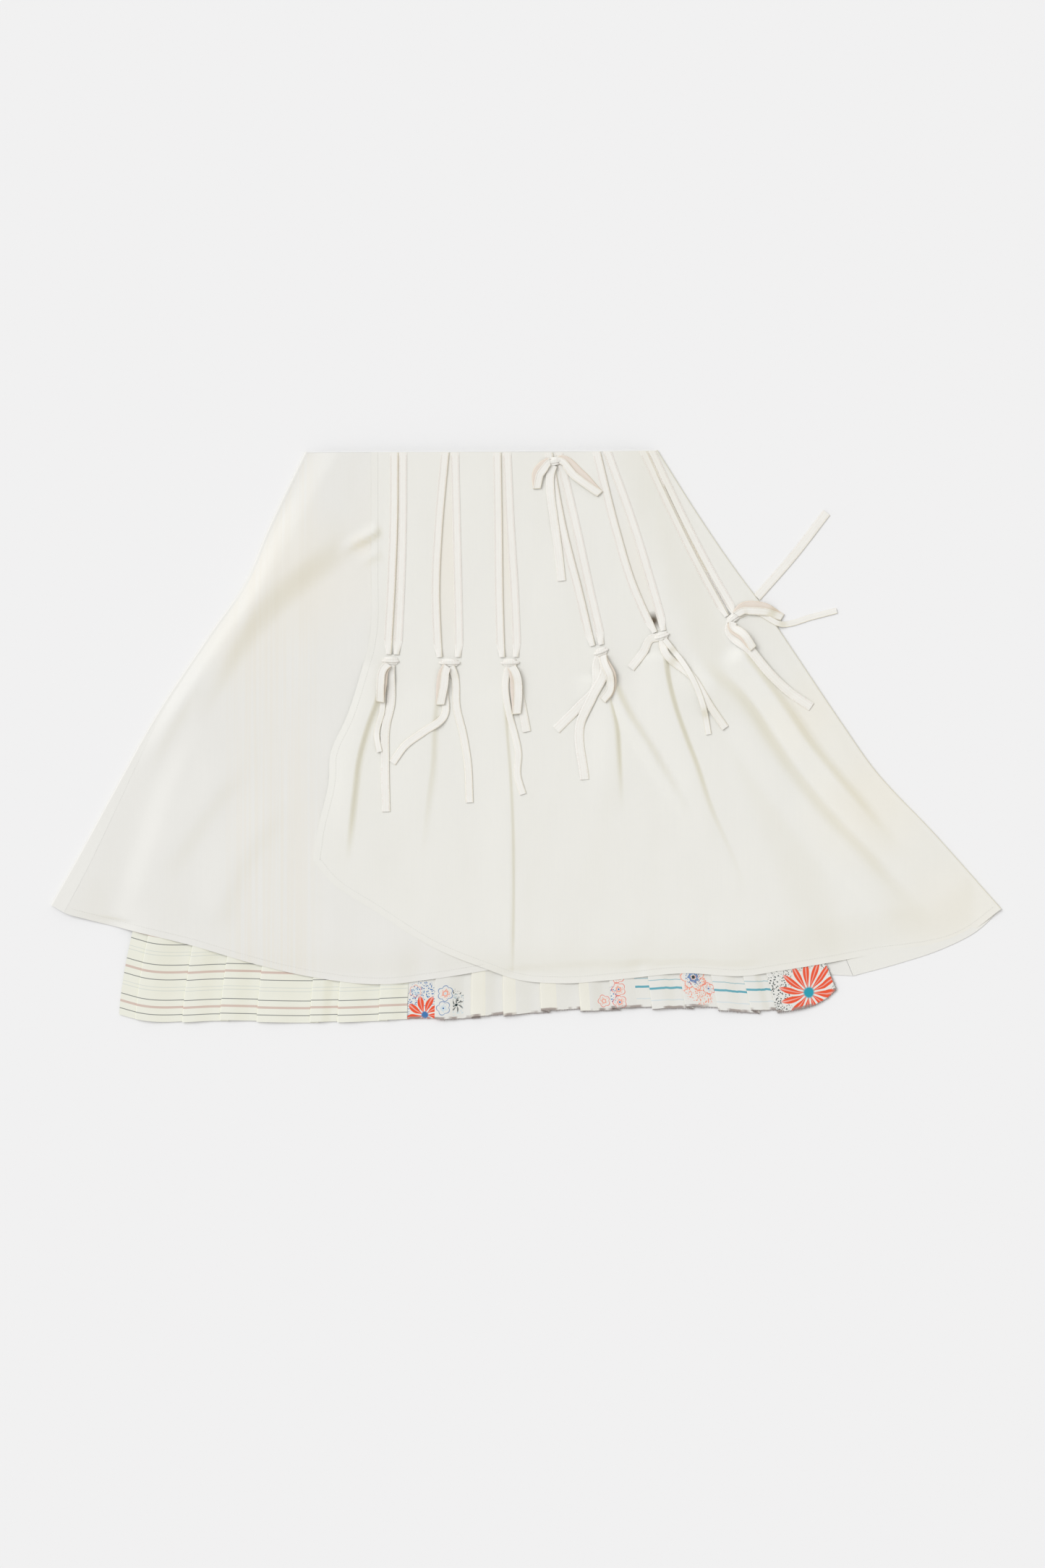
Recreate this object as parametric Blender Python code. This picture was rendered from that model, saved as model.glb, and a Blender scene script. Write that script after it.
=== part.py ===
"""Wrap skirt laid flat, front up, over a knife-pleated underskirt.

Sizes are in millimetres in the tables and turned to metres when a mesh is made.
x runs along the hem, y from the hem up to the waist and z up from the floor.
"""
import math

import bpy
import numpy as np
from mathutils import Vector
from mathutils.bvhtree import BVHTree

# Cloth and layers
WALL = 1.0
GAP = 0.4
LAYER = WALL + GAP
TAPE_WALL = 1.0
TAPE_GAP = 0.5
FLOOR_GAP = 0.05
TAPE_WIDTH = 9.4
BACK_TIE_WIDTH = 9.0

# Heights of the middle of each layer above the floor
BACK_Z = WALL / 2
UNDERSKIRT_BACK_Z = BACK_Z + LAYER
PLEAT_LOW_Z = UNDERSKIRT_BACK_Z + LAYER
UNDER_PANEL_Z = PLEAT_LOW_Z + 3 * LAYER
OVER_PANEL_Z = UNDER_PANEL_Z + LAYER

# Round folds at the two sides: radius, width kept free of other folds, steps of the arc
SIDE_RADIUS = 2.0
SIDE_TOP_Z = BACK_Z + 2 * SIDE_RADIUS
SIDE_CLEAR = 16.0
ARC_STEPS = 5

# Rise of the front panels on to the underskirt: start outside its edge and length
RISE_REACH = 22.0
RISE_LENGTH = 30.0

# Drape of the underskirt past the hem of the outer skirt
DRAPE_START_Y = -266.0
DRAPE_LENGTH = 22.0

# Centre of the whole outline, so that the part stands on its origin
CENTRE_X = 0.476
CENTRE_Y = -1.9

# Outlines, each a row of (x, y)
LEFT_OUTLINE = (
    (-240, 308), (-281, 222), (-304, 168), (-344, 109), (-404, 18),
    (-449, -63), (-491, -140), (-517, -186),
)
RIGHT_OUTLINE_ABOVE = ((143, 310), (191, 234), (228, 180), (262, 135))
RIGHT_OUTLINE_BELOW = ((262, 135), (300, 78), (345, 11), (378, -36), (445, -108), (518, -190))
OVER_EDGE_ABOVE = ((-168, 307), (-168, 185), (-169, 112), (-172, 92))
OVER_EDGE_BELOW = ((-172, 92), (-194, 21), (-213, -24), (-214, -48), (-227, -107), (-231, -137))
OVER_HEM = (
    (-231, -137), (-214, -158), (-164, -192), (-98, -233), (-41, -256), (-13, -266), (38, -271),
    (98, -267), (174, -260), (238, -263), (279, -257), (372, -241), (482, -217), (518, -190),
)
UNDER_HEM = (
    (-503, -195), (-420, -216), (-370, -228), (-291, -251), (-239, -263), (-150, -272),
    (-99, -266), (-21, -254), (80, -249), (180, -247), (240, -249),
)
BACK_HEM = (
    (356.6, -263), (200, -254), (0, -252), (-140, -255), (-291, -240), (-420, -206), (-517, -186),
)
BACK_HEM_RIGHT = ((518, -190), (492, -214), (453, -234), (408, -249), (357, -263))
BACK_SEAM_WAIST = (120, 309)
BACK_SEAM_FOOT = (196, 125)
BACK_SEAM_HEM = (357, -263)
UNDER_HIDDEN_EDGE = ((104, 306), (240, -249))
SIDE_SEAM_START_Y = 82.0
SIDE_SEAM_MIN = 5.0
SIDE_SEAM_AT_HEM = 16.0
SIDE_SEAM_LENGTH = 272.0
LAP_CLEAR = 5.0
LAP_RISE = 16.0

# Slits of the over panel: both edges from the waist to the foot,
# then the crease that runs on from the foot, its last point on the hem
SLITS = (
    {"left": ((-139, 307), (-139.5, 236), (-141.7, 174), (-146.4, 87)),
     "right": ((-137.8, 307), (-138, 236), (-139.5, 174), (-143.4, 87)),
     "crease": ((-163, 30), (-184, -50), (-196, -137), (-202, -167))},
    {"left": ((-83.4, 307), (-90.9, 222), (-93.7, 160), (-91, 84)),
     "right": ((-81.4, 307), (-79.5, 222), (-77.9, 155), (-76.5, 84)),
     "crease": ((-99, 7), (-98, -39), (-110, -140), (-118, -221))},
    {"left": ((-26.9, 307), (-25.6, 222), (-24.6, 145), (-22.8, 84)),
     "right": ((-24.6, 307), (-20.6, 222), (-16.2, 150), (-13.6, 84)),
     "crease": ((-20, 0), (-15, -75), (-13, -129), (-13, -266))},
    {"left": ((29, 307), (44.1, 225.5), (62.2, 154), (75.5, 97)),
     "right": ((31.5, 307), (50.6, 225.5), (66.2, 154), (79.5, 97)),
     "crease": ((93, 40), (102, -7), (119, -52), (133, -151), (140, -263))},
    {"left": ((81, 308), (101.5, 225.5), (118, 170), (143, 112)),
     "right": ((84, 308), (113.5, 225.5), (130.5, 170), (147, 112)),
     "crease": ((156, 62), (178, 4), (191, -35), (223, -114), (274, -258))},
    {"left": ((131, 309), (168.4, 225.5), (187.3, 186), (217, 130)),
     "right": ((134.5, 309), (176.5, 225.5), (199.5, 186), (230, 130)),
     "crease": ((257, 64), (302, 4), (376, -88), (433, -144), (486, -214))},
)
CREASE_WIDTH = 1.2
CREASE_START = 0.2
SLIT_LENGTH = 225.0
TAPE_INSET = 1.4
TAPE_CLEAR = 0.4
TAPE_SAMPLES = 40
SUB_COLUMNS = (3, 5, 5, 7, 7, 9, 3)
SLIT_ROWS = 5
SKIRT_ROWS = 14
FOLDED_COLUMNS = 4
SIDE_ROWS = 16
BACK_COLUMNS = 6
UNDER_COLUMNS = 24
UNDERSKIRT_BACK_COLUMNS = 9

# Folds: a line of (x, y), height, width of each flank, share of the line that fades in and out
OVER_FOLDS = (
    {"line": ((-158, 50), (-168, 20), (-182, -30), (-190, -75), (-194, -130)),
     "high": 3.5, "left": 24, "right": 12, "fade_in": 0.25, "fade_out": 0.5},
    {"line": ((-98, 40), (-103, 0), (-105, -39), (-112, -93), (-120, -160)),
     "high": 3.0, "left": 50, "right": 14, "fade_in": 0.25, "fade_out": 0.5},
    {"line": ((-25, 44), (-23, 10), (-20, -20), (-18, -78), (-17, -147), (-18, -266)),
     "high": 3.5, "left": 44, "right": 12, "fade_in": 0.25, "fade_out": 0.0},
    {"line": ((88, 52), (92, 20), (97, -15), (102, -85)),
     "high": 3.0, "left": 40, "right": 12, "fade_in": 0.2, "fade_out": 0.5},
    {"line": ((104, 30), (127, -12), (150, -48), (172, -85), (200, -140)),
     "high": 3.5, "left": 20, "right": 14, "fade_in": 0.2, "fade_out": 0.5},
    {"line": ((150, 72), (154, 42), (170, 0), (182, -27), (198, -76), (220, -119), (254, -205)),
     "high": 4.0, "left": 36, "right": 14, "fade_in": 0.2, "fade_out": 0.4},
    {"line": ((175, 84), (199, 63), (229, 36), (258, -9), (283, -45), (326, -100), (368, -139),
              (417, -172)),
     "high": 4.5, "left": 30, "right": 14, "fade_in": 0.2, "fade_out": 0.3},
    {"line": ((236, 84), (257, 57), (278, 20), (302, -15), (326, -42), (356, -78), (393, -111),
              (430, -142)),
     "high": 4.5, "left": 26, "right": 14, "fade_in": 0.2, "fade_out": 0.35},
)
UNDER_FOLDS = (
    {"line": ((-176, 212), (-190, 205), (-206, 195), (-225, 180)),
     "high": 2.5, "left": 20, "right": 12, "fade_in": 0.3, "fade_out": 0.6},
    {"line": ((-190, 224), (-216, 207), (-262, 165), (-308, 118), (-330, 88), (-384, 0), (-424, -74)),
     "high": 4.5, "left": 56, "right": 30, "fade_in": 0.2, "fade_out": 0.4},
    {"line": ((-300, -20), (-338, -62), (-372, -112), (-402, -160)),
     "high": 1.6, "left": 36, "right": 22, "fade_in": 0.35, "fade_out": 0.3},
    {"line": ((-262, -60), (-318, -150), (-346, -225)),
     "high": 1.4, "left": 34, "right": 24, "fade_in": 0.35, "fade_out": 0.2},
)

# Underskirt: fold lines at the hem, each with the drop of its hem, and the fan towards the waist,
# whose lines bend more the nearer they are to the left end
UNDERSKIRT_WAIST_Y = 298.0
UNDERSKIRT_WAIST = (-214.0, 114.0)
UNDERSKIRT_HEM_ENDS = (-443.0, 338.0)
UNDERSKIRT_FLARE = 0.45
UNDERSKIRT_SEAM = -129.0
UNDERSKIRT_HEM = (
    (-443, -305), (-425, -310), (-334, -311), (-239, -313), (-128, -310), (-68, -308), (12, -301),
    (91, -298), (174, -296), (208, -297), (257, -300), (294, -298), (328, -285), (338, -276),
)
STRIPE_PLEATS = ((-425, 0), (-374, -1), (-333, 0), (-293, -1), (-235, 0), (-205, -1), (-160, 0))
PRINT_PLEATS = (
    (-99, -1), (-59, 0), (-24, -2), (17, 0), (60, -2), (94, 0), (138, -2), (174, 0),
    (210, -3), (246, 0), (274, -2),
)
PLEAT_DEPTH = 9.0
PLEAT_RAMP = 6.0
PLEAT_TOP_REACH = 1.5
PLEAT_ROWS = (0.0, 0.45, 0.925, 0.965, 1.0)
PLEAT_ARC = (-60, 0, 60)
HEM_INSET = 4.0
BACK_INSET = 2.0

# Ties: name, route of (x, y), width
TAILS = (
    ("tie_tail_1_long", ((-147, 70), (-147, 32), (-152, 10), (-153, -30), (-152, -84)), 9.0),
    ("tie_tail_1_short", ((-154, 64), (-156, 26), (-162, 0), (-159, -19)), 6.0),
    ("tie_tail_2_left", ((-88, 66), (-90, 18), (-112, 2), (-131, -12), (-145, -31)), 8.0),
    ("tie_tail_2_right", ((-78, 66), (-75, 29), (-68, 0), (-63, -31), (-61, -74)), 8.0),
    ("tie_tail_3_left", ((-21, 64), (-18, 22), (-12, 0), (-8, -20), (-9, -44), (-3, -65)), 7.0),
    ("tie_tail_3_right", ((-11, 66), (-6, 40), (1, 3)), 9.0),
    ("tie_tail_4_left", ((78, 78), (76, 50), (58, 30), (33, 5)), 10.0),
    ("tie_tail_4_down", ((86, 76), (72, 40), (60, 14), (64, -49)), 10.0),
    ("tie_tail_5_left", ((136, 104), (128, 90), (114, 72)), 9.0),
    ("tie_tail_5_long", ((150, 93), (182, 61), (201, 30), (217, 7)), 8.0),
    ("tie_tail_5_thin", ((155, 98), (172, 76), (186, 50), (195, 22), (199, 0)), 6.0),
    ("tie_tail_6_long", ((222, 116), (246, 90), (265, 67), (290, 44), (311, 30)), 10.0),
    ("tie_tail_6_right", ((245, 134), (280, 120), (312, 128), (339, 135)), 6.0),
    ("waist_tail", ((27, 284), (27, 262), (30, 238), (35, 202), (39, 167)), 9.0),
)
# Loops: name, route out from the knot, width, sideways shift of the way back
LOOPS = (
    ("tie_loop_1", ((-152, 72), (-155, 54), (-158, 36)), 8.0, -3.0),
    ("tie_loop_2", ((-90, 68), (-93, 50), (-93, 33)), 9.0, 4.0),
    ("tie_loop_3", ((-14, 68), (-12, 46), (-10, 23)), 9.0, 4.0),
    ("tie_loop_4", ((86, 80), (94, 64), (92, 46), (84, 38)), 8.0, -3.0),
    ("tie_loop_6_right", ((234, 138), (258, 140), (279, 128)), 8.0, -7.0),
    ("tie_loop_6_low", ((224, 118), (236, 106), (247, 94)), 8.0, 3.0),
    ("waist_loop_left", ((24, 296), (12, 286), (12, 268)), 8.0, 5.0),
    ("waist_loop_right", ((38, 299), (60, 284), (80, 262)), 8.0, -7.0),
)
LOOP_RADIUS = 1.1
LOOP_LIFT = 1.2
LOOP_ARC = (-45, 0, 45)
# Knots: name, centre, direction of the tie in degrees, half width
KNOTS = (
    ("knot_1", (-147, 80), -92, 9.5),
    ("knot_2", (-83, 78), -90, 12.0),
    ("knot_3", (-17, 78), -88, 10.5),
    ("knot_4", (82, 90), -70, 8.5),
    ("knot_5", (148, 107), -72, 8.5),
    ("knot_6", (226, 127), -55, 9.0),
    ("waist_knot", (31, 297), -80, 8.0),
)
KNOT_LENGTH = 8.0
KNOT_HALF_HEIGHT = 3.2
KNOT_ROWS = (-0.5, -0.2, 0.2, 0.5)
KNOT_SWELL = 0.9
KNOT_START = -80
KNOT_TURN = 335
KNOT_STEPS = 14
# Tie from the back: height of its root on the right outline, its end and its clearance
BACK_TIE_Y = 149.0
BACK_TIE_END = (328, 242)
BACK_TIE_CLEAR = 0.9

# Stations of a strip of tape, and where its bed is probed across and along each of them
STRIP_STEP = 8.0
LOOP_STEP = 5.6
TAPE_STEP = 26.0
PROBE_ACROSS = (-0.5, -0.25, 0.0, 0.25, 0.5, 0.75, 1.0, 1.14)
PROBE_ALONG = (-0.9, -0.6, -0.3, 0.0, 0.3, 0.6, 0.9)
PROBE_HEIGHT = 200.0
STEEPEST = 0.45
LINE_SAMPLES = 240

SHARP_ANGLE = 40.0
COLOURS = {
    "ivory cloth": (0.84, 0.84, 0.76),
    "tape": (0.86, 0.82, 0.74),
    "shirt cloth": (0.80, 0.83, 0.74),
    "print cloth": (0.72, 0.74, 0.73),
}


def ease(value):
    """Smooth step from 0 to 1."""
    value = np.clip(value, 0.0, 1.0)
    return value * value * (3.0 - 2.0 * value)


def line_through(points, count=LINE_SAMPLES):
    """Smooth dense line through a short row of points."""
    points = np.array(points, float)
    if len(points) == 2:
        return points[0] + np.linspace(0, 1, count)[:, None] * (points[1] - points[0])
    knots = np.concatenate([[0], np.cumsum(np.linalg.norm(np.diff(points, axis=0), axis=1))])
    slopes = np.gradient(points, knots, axis=0)
    place = np.linspace(0, knots[-1], count)
    first = np.clip(np.searchsorted(knots, place, side="right") - 1, 0, len(knots) - 2)
    span = (knots[first + 1] - knots[first])[:, None]
    u = (place - knots[first])[:, None] / span
    return (
        (2 * u**3 - 3 * u**2 + 1) * points[first]
        + (u**3 - 2 * u**2 + u) * span * slopes[first]
        + (3 * u**2 - 2 * u**3) * points[first + 1]
        + (u**3 - u**2) * span * slopes[first + 1]
    )


def along(line, shares):
    """Points of a line at the given shares of its length."""
    lengths = np.concatenate([[0], np.cumsum(np.linalg.norm(np.diff(line, axis=0), axis=1))])
    wanted = np.asarray(shares, float) * lengths[-1]
    return np.stack([np.interp(wanted, lengths, line[:, k]) for k in range(line.shape[1])], axis=-1)


def share_near(line, point):
    """Share of the line's length at its point nearest to the given one."""
    lengths = np.concatenate([[0], np.cumsum(np.linalg.norm(np.diff(line, axis=0), axis=1))])
    nearest = np.argmin(np.linalg.norm(line - np.array(point, float), axis=1))
    return lengths[nearest] / lengths[-1]


def distance_to(line, points):
    """Distance, signed side (right is positive on a downward line) and share along the line."""
    flat = points.reshape(-1, 2)
    steps = np.linalg.norm(flat[:, None, :] - line[None, :, :], axis=2)
    nearest = np.argmin(steps, axis=1)
    tangent = np.gradient(line, axis=0)[nearest]
    away = flat - line[nearest]
    side = tangent[:, 0] * away[:, 1] - tangent[:, 1] * away[:, 0]
    shape = points.shape[:-1]
    return (
        steps[np.arange(len(flat)), nearest].reshape(shape),
        np.sign(side).reshape(shape),
        (nearest / (len(line) - 1)).reshape(shape),
    )


def fold_height(points, folds):
    """Height that the folds add at each point."""
    total = np.zeros(points.shape[:-1])
    for fold in folds:
        away, side, share = distance_to(line_through(fold["line"]), points)
        width = np.where(side > 0, fold["right"], fold["left"])
        rise = 0.5 + 0.5 * np.cos(np.pi * np.clip(away / width, 0, 1))
        fade = ease(share / max(fold["fade_in"], 1e-6))
        if fold["fade_out"] > 0:
            fade = fade * ease((1 - share) / fold["fade_out"])
        total = np.maximum(total, fold["high"] * rise * fade)
    return total


def wall_mesh(name, middle, cells, wall, colour):
    """Closed wall of even thickness about a grid of points; cells says which quads exist."""
    rows, columns = middle.shape[:2]
    normal = np.zeros_like(middle)
    corners = ((0, 0), (0, 1), (1, 1), (1, 0))
    diagonal_a = middle[1:, 1:] - middle[:-1, :-1]
    diagonal_b = middle[:-1, 1:] - middle[1:, :-1]
    face_normal = np.cross(diagonal_b, diagonal_a)
    size = np.linalg.norm(face_normal, axis=2, keepdims=True)
    face_normal = face_normal / np.maximum(size, 1e-9)
    face_normal = face_normal * cells[:, :, None]
    for row, column in corners:
        normal[row:rows - 1 + row, column:columns - 1 + column] += face_normal
    length = np.linalg.norm(normal, axis=2, keepdims=True)
    used = length[:, :, 0] > 1e-9
    normal = normal / np.maximum(length, 1e-9)
    number = -np.ones((rows, columns), int)
    number[used] = np.arange(used.sum())
    count = used.sum()
    points = np.concatenate([(middle + normal * wall / 2)[used], (middle - normal * wall / 2)[used]])
    faces = []
    for row in range(rows - 1):
        for column in range(columns - 1):
            if not cells[row, column]:
                continue
            ring = [
                number[row, column], number[row + 1, column],
                number[row + 1, column + 1], number[row, column + 1],
            ]
            faces.append(ring)
            faces.append([count + ring[corner] for corner in (0, 3, 2, 1)])
            beyond = ((row, column - 1), (row + 1, column), (row, column + 1), (row - 1, column))
            for side, (other_row, other_column) in enumerate(beyond):
                inside = 0 <= other_row < rows - 1 and 0 <= other_column < columns - 1
                if inside and cells[other_row, other_column]:
                    continue
                start, end = ring[side], ring[(side + 1) % 4]
                faces.append([end, start, count + start, count + end])
    if volume(points, faces) < 0:
        faces = [face[::-1] for face in faces]
    return add_object(name, points, halved(faces), colour)


def halved(faces):
    """Triangles of quads, cut so that both sides of a wall have the same diagonals."""
    triangles = []
    for a, b, c, d in faces:
        triangles.append([a, b, c])
        triangles.append([a, c, d])
    return triangles


def volume(points, faces):
    """Signed volume of a closed mesh of quads."""
    ring = np.array(faces)
    a, b, c, d = (points[ring[:, k]] for k in range(4))
    return float((np.cross(a, b) * c).sum() + (np.cross(a, c) * d).sum()) / 6.0


BUILT = []


def add_object(name, points, faces, colour):
    """Mesh object in metres about the centre, remembered for what is laid on it."""
    tree = BVHTree.FromPolygons([Vector(point) for point in points], faces)
    BUILT.append((tree, points[:, :2].min(axis=0), points[:, :2].max(axis=0)))
    mesh = bpy.data.meshes.new(name)
    shifted = (points - np.array([CENTRE_X, CENTRE_Y, 0.0])) / 1000.0
    mesh.from_pydata([tuple(point) for point in shifted], [], faces)
    mesh.validate()
    mesh.shade_smooth()
    mesh.set_sharp_from_angle(angle=math.radians(SHARP_ANGLE))
    mesh.materials.append(material(name, colour))
    item = bpy.data.objects.new(name, mesh)
    bpy.context.scene.collection.objects.link(item)
    return item


def material(name, colour):
    """Principled material of one piece."""
    made = bpy.data.materials.new(name + "_material")
    made.use_nodes = True
    shader = made.node_tree.nodes["Principled BSDF"]
    shader.inputs["Base Color"].default_value = (*COLOURS[colour], 1.0)
    shader.inputs["Roughness"].default_value = 0.9
    return made


def height_below(x, y):
    """Top of everything built so far at one place; the floor counts as 0."""
    top = 0.0
    for tree, low, high in BUILT:
        if x < low[0] or x > high[0] or y < low[1] or y > high[1]:
            continue
        hit = tree.ray_cast(Vector((x, y, PROBE_HEIGHT)), Vector((0, 0, -1)))
        if hit[0] is not None:
            top = max(top, hit[0].z)
    return top


def all_cells(grid):
    """Every quad of a grid."""
    return np.ones((grid.shape[0] - 1, grid.shape[1] - 1), bool)


def side_fold(outline, steps=ARC_STEPS):
    """Points of the round fold along an outline: list of (xy, z) columns from top to floor."""
    tangent = np.gradient(outline, axis=0)
    tangent = tangent / np.linalg.norm(tangent, axis=1, keepdims=True)
    outward = np.stack([-tangent[:, 1], tangent[:, 0]], axis=1)
    if outward[0, 0] * outline[0, 0] < 0:
        outward = -outward
    columns = []
    for step in range(steps + 1):
        angle = math.pi / 2 - math.pi * step / steps
        place = outline + outward * SIDE_RADIUS * (math.cos(angle) - 1.0)
        height = BACK_Z + SIDE_RADIUS + SIDE_RADIUS * math.sin(angle)
        columns.append((place, np.full(len(outline), height)))
    return columns


def panel_height(points, side, inner_z):
    """Height of a front panel: low by the side fold, up where it lies on the underskirt."""
    share = (UNDERSKIRT_WAIST_Y - points[..., 1]) / (UNDERSKIRT_WAIST_Y - UNDERSKIRT_HEM[-1][1])
    edge = fan(UNDERSKIRT_HEM_ENDS[side], share)
    inside = (edge - points[..., 0]) * (1 if side == 1 else -1) + RISE_REACH
    return SIDE_TOP_Z + (inner_z - SIDE_TOP_Z) * ease(inside / RISE_LENGTH)


def over_panel():
    """Front over panel with its six slits, folded round the right side to the back seam."""
    slit_shares = np.linspace(0, 1, SLIT_ROWS + 1)
    skirt_shares = np.linspace(0, 1, SKIRT_ROWS + 1)[1:]
    hem = line_through(OVER_HEM)
    right = np.concatenate([
        along(line_through(RIGHT_OUTLINE_ABOVE), slit_shares),
        along(line_through(RIGHT_OUTLINE_BELOW), skirt_shares),
    ])
    fold = side_fold(right)
    guides = [(np.concatenate([
        along(line_through(OVER_EDGE_ABOVE), slit_shares),
        along(line_through(OVER_EDGE_BELOW), skirt_shares),
    ]), 0.0)]
    for slit in SLITS:
        left, right_edge = (along(line_through(slit[side]), slit_shares) for side in ("left", "right"))
        foot_width = right_edge[-1, 0] - left[-1, 0]
        foot = tuple((left[-1] + right_edge[-1]) / 2)
        hem_share = share_near(hem, slit["crease"][-1])
        below = (foot,) + slit["crease"][:-1] + (tuple(along(hem, [hem_share])[0]),)
        lower = along(line_through(below), skirt_shares)
        width = CREASE_WIDTH + (foot_width - CREASE_WIDTH) * (1 - ease(skirt_shares / CREASE_START))
        half = np.stack([width / 2, np.zeros(len(width))], axis=1)
        guides.append((np.concatenate([left, lower - half]), hem_share))
        guides.append((np.concatenate([right_edge, lower + half]), hem_share))
    guides.append((fold[0][0], 1.0))
    rise_share = np.concatenate([np.zeros(SLIT_ROWS + 1), skirt_shares])
    columns = []
    slit_columns = []
    for pair in range(0, len(guides), 2):
        (start, start_share), (end, end_share) = guides[pair], guides[pair + 1]
        steps = SUB_COLUMNS[pair // 2]
        for step in range(steps + 1):
            mix = step / steps
            place = start * (1 - mix) + end * mix
            target = along(hem, [start_share + (end_share - start_share) * mix])[0]
            miss = (target - place[-1]) * (0 if step in (0, steps) else 1)
            place = place + miss * (rise_share**2)[:, None]
            columns.append(place)
        slit_columns.append(len(columns) - 1)
    slit_columns.pop()
    top = np.stack(columns, axis=1)
    outline = np.concatenate([line_through(RIGHT_OUTLINE_ABOVE), line_through(RIGHT_OUTLINE_BELOW)])
    away = distance_to(outline, top)[0]
    height = panel_height(top, 1, OVER_PANEL_Z)
    height += fold_height(top, OVER_FOLDS) * ease((away - SIDE_RADIUS) / SIDE_CLEAR)
    height[:, -1] = SIDE_TOP_Z
    grid = [np.concatenate([top, height[:, :, None]], axis=2)]
    for place, level in fold[1:]:
        grid.append(np.concatenate([place, level[:, None]], axis=1)[:, None, :])
    seam = np.concatenate([
        along(line_through((BACK_SEAM_WAIST, BACK_SEAM_FOOT)), slit_shares),
        along(line_through((BACK_SEAM_FOOT, BACK_SEAM_HEM)), skirt_shares),
    ])
    under_hem = line_through(BACK_HEM_RIGHT)
    edge = fold[-1][0]
    for mix in np.linspace(0, 1, FOLDED_COLUMNS + 1)[1:]:
        place = edge * (1 - mix) + seam * mix
        miss = along(under_hem, [mix])[0] - place[-1]
        place = place + miss * (rise_share**2)[:, None]
        flat = np.full((len(place), 1), BACK_Z)
        grid.append(np.concatenate([place, flat], axis=1)[:, None, :])
    grid = np.concatenate(grid, axis=1)
    cells = all_cells(grid)
    for column in slit_columns:
        cells[:SLIT_ROWS, column] = False
    wall_mesh("front_over_panel", grid, cells, WALL, "ivory cloth")


def left_rows(count):
    """Rows down the left side: outline point and width of the back panel's strip."""
    outline = along(line_through(LEFT_OUTLINE), np.linspace(0, 1, count + 1))
    below = ease((SIDE_SEAM_START_Y - outline[:, 1]) / SIDE_SEAM_LENGTH)
    return outline, SIDE_SEAM_MIN + (SIDE_SEAM_AT_HEM - SIDE_SEAM_MIN) * below


def under_surface(points):
    """Height of the under panel and of the strip beside it."""
    away = distance_to(line_through(LEFT_OUTLINE), points)[0]
    height = panel_height(points, 0, UNDER_PANEL_Z)
    edge = np.concatenate([line_through(OVER_EDGE_ABOVE), line_through(OVER_EDGE_BELOW)])
    edge_x = np.interp(points[..., 1], edge[::-1, 1], edge[::-1, 0])
    clear = ease((edge_x - LAP_CLEAR - points[..., 0]) / LAP_RISE)
    return height + fold_height(points, UNDER_FOLDS) * clear * ease((away - SIDE_RADIUS) / SIDE_CLEAR)


def back_panel(rows=SIDE_ROWS):
    """Back panel flat on the floor, folded round the left side to the seam on the front."""
    shares = np.linspace(0, 1, rows + 1)
    outline, strip = left_rows(rows)
    fold = side_fold(outline)
    seam = along(np.array([BACK_SEAM_WAIST, BACK_SEAM_FOOT, BACK_SEAM_HEM], float), shares)
    seam = seam - np.array([GAP, 0.0])
    hem = line_through(BACK_HEM)
    grid = []
    edge = fold[-1][0]
    for mix in np.linspace(0, 1, BACK_COLUMNS + 1):
        place = seam * (1 - mix) + edge * mix
        miss = along(hem, [mix])[0] - place[-1]
        if mix in (0.0, 1.0):
            miss = miss * 0
        place = place + miss * (shares**2)[:, None]
        grid.append(np.concatenate([place, np.full((rows + 1, 1), BACK_Z)], axis=1))
    for place, level in fold[-2::-1]:
        grid.append(np.concatenate([place, level[:, None]], axis=1))
    tangent = np.gradient(outline, axis=0)
    tangent = tangent / np.linalg.norm(tangent, axis=1, keepdims=True)
    inward = np.stack([-tangent[:, 1], tangent[:, 0]], axis=1)
    for share in (0.5, 1.0):
        place = outline + inward * (SIDE_RADIUS + (strip - SIDE_RADIUS) * share)[:, None]
        grid.append(np.concatenate([place, under_surface(place)[:, None]], axis=1))
    grid = np.stack(grid, axis=1)[:, ::-1]
    wall_mesh("back_panel", grid, all_cells(grid), WALL, "ivory cloth")


def under_panel(rows=SIDE_ROWS, columns=UNDER_COLUMNS):
    """Front under panel from the left seam to its hidden edge below the over panel."""
    shares = np.linspace(0, 1, rows + 1)
    outline, strip = left_rows(rows)
    tangent = np.gradient(outline, axis=0)
    tangent = tangent / np.linalg.norm(tangent, axis=1, keepdims=True)
    inward = np.stack([-tangent[:, 1], tangent[:, 0]], axis=1)
    start = outline + inward * (strip + GAP)[:, None]
    end = along(line_through(UNDER_HIDDEN_EDGE), shares)
    hem = line_through(UNDER_HEM)
    grid = []
    for mix in np.linspace(0, 1, columns + 1):
        place = start * (1 - mix) + end * mix
        miss = along(hem, [mix])[0] - place[-1]
        if mix == 0.0:
            miss = miss * 0
        place = place + miss * (shares**2)[:, None]
        grid.append(np.concatenate([place, under_surface(place)[:, None]], axis=1))
    grid = np.stack(grid, axis=1)
    wall_mesh("front_under_panel", grid, all_cells(grid), WALL, "ivory cloth")


def drape(y):
    """Drop of the underskirt past the outer hem."""
    return -LAYER * ease((DRAPE_START_Y - y) / DRAPE_LENGTH)


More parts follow.
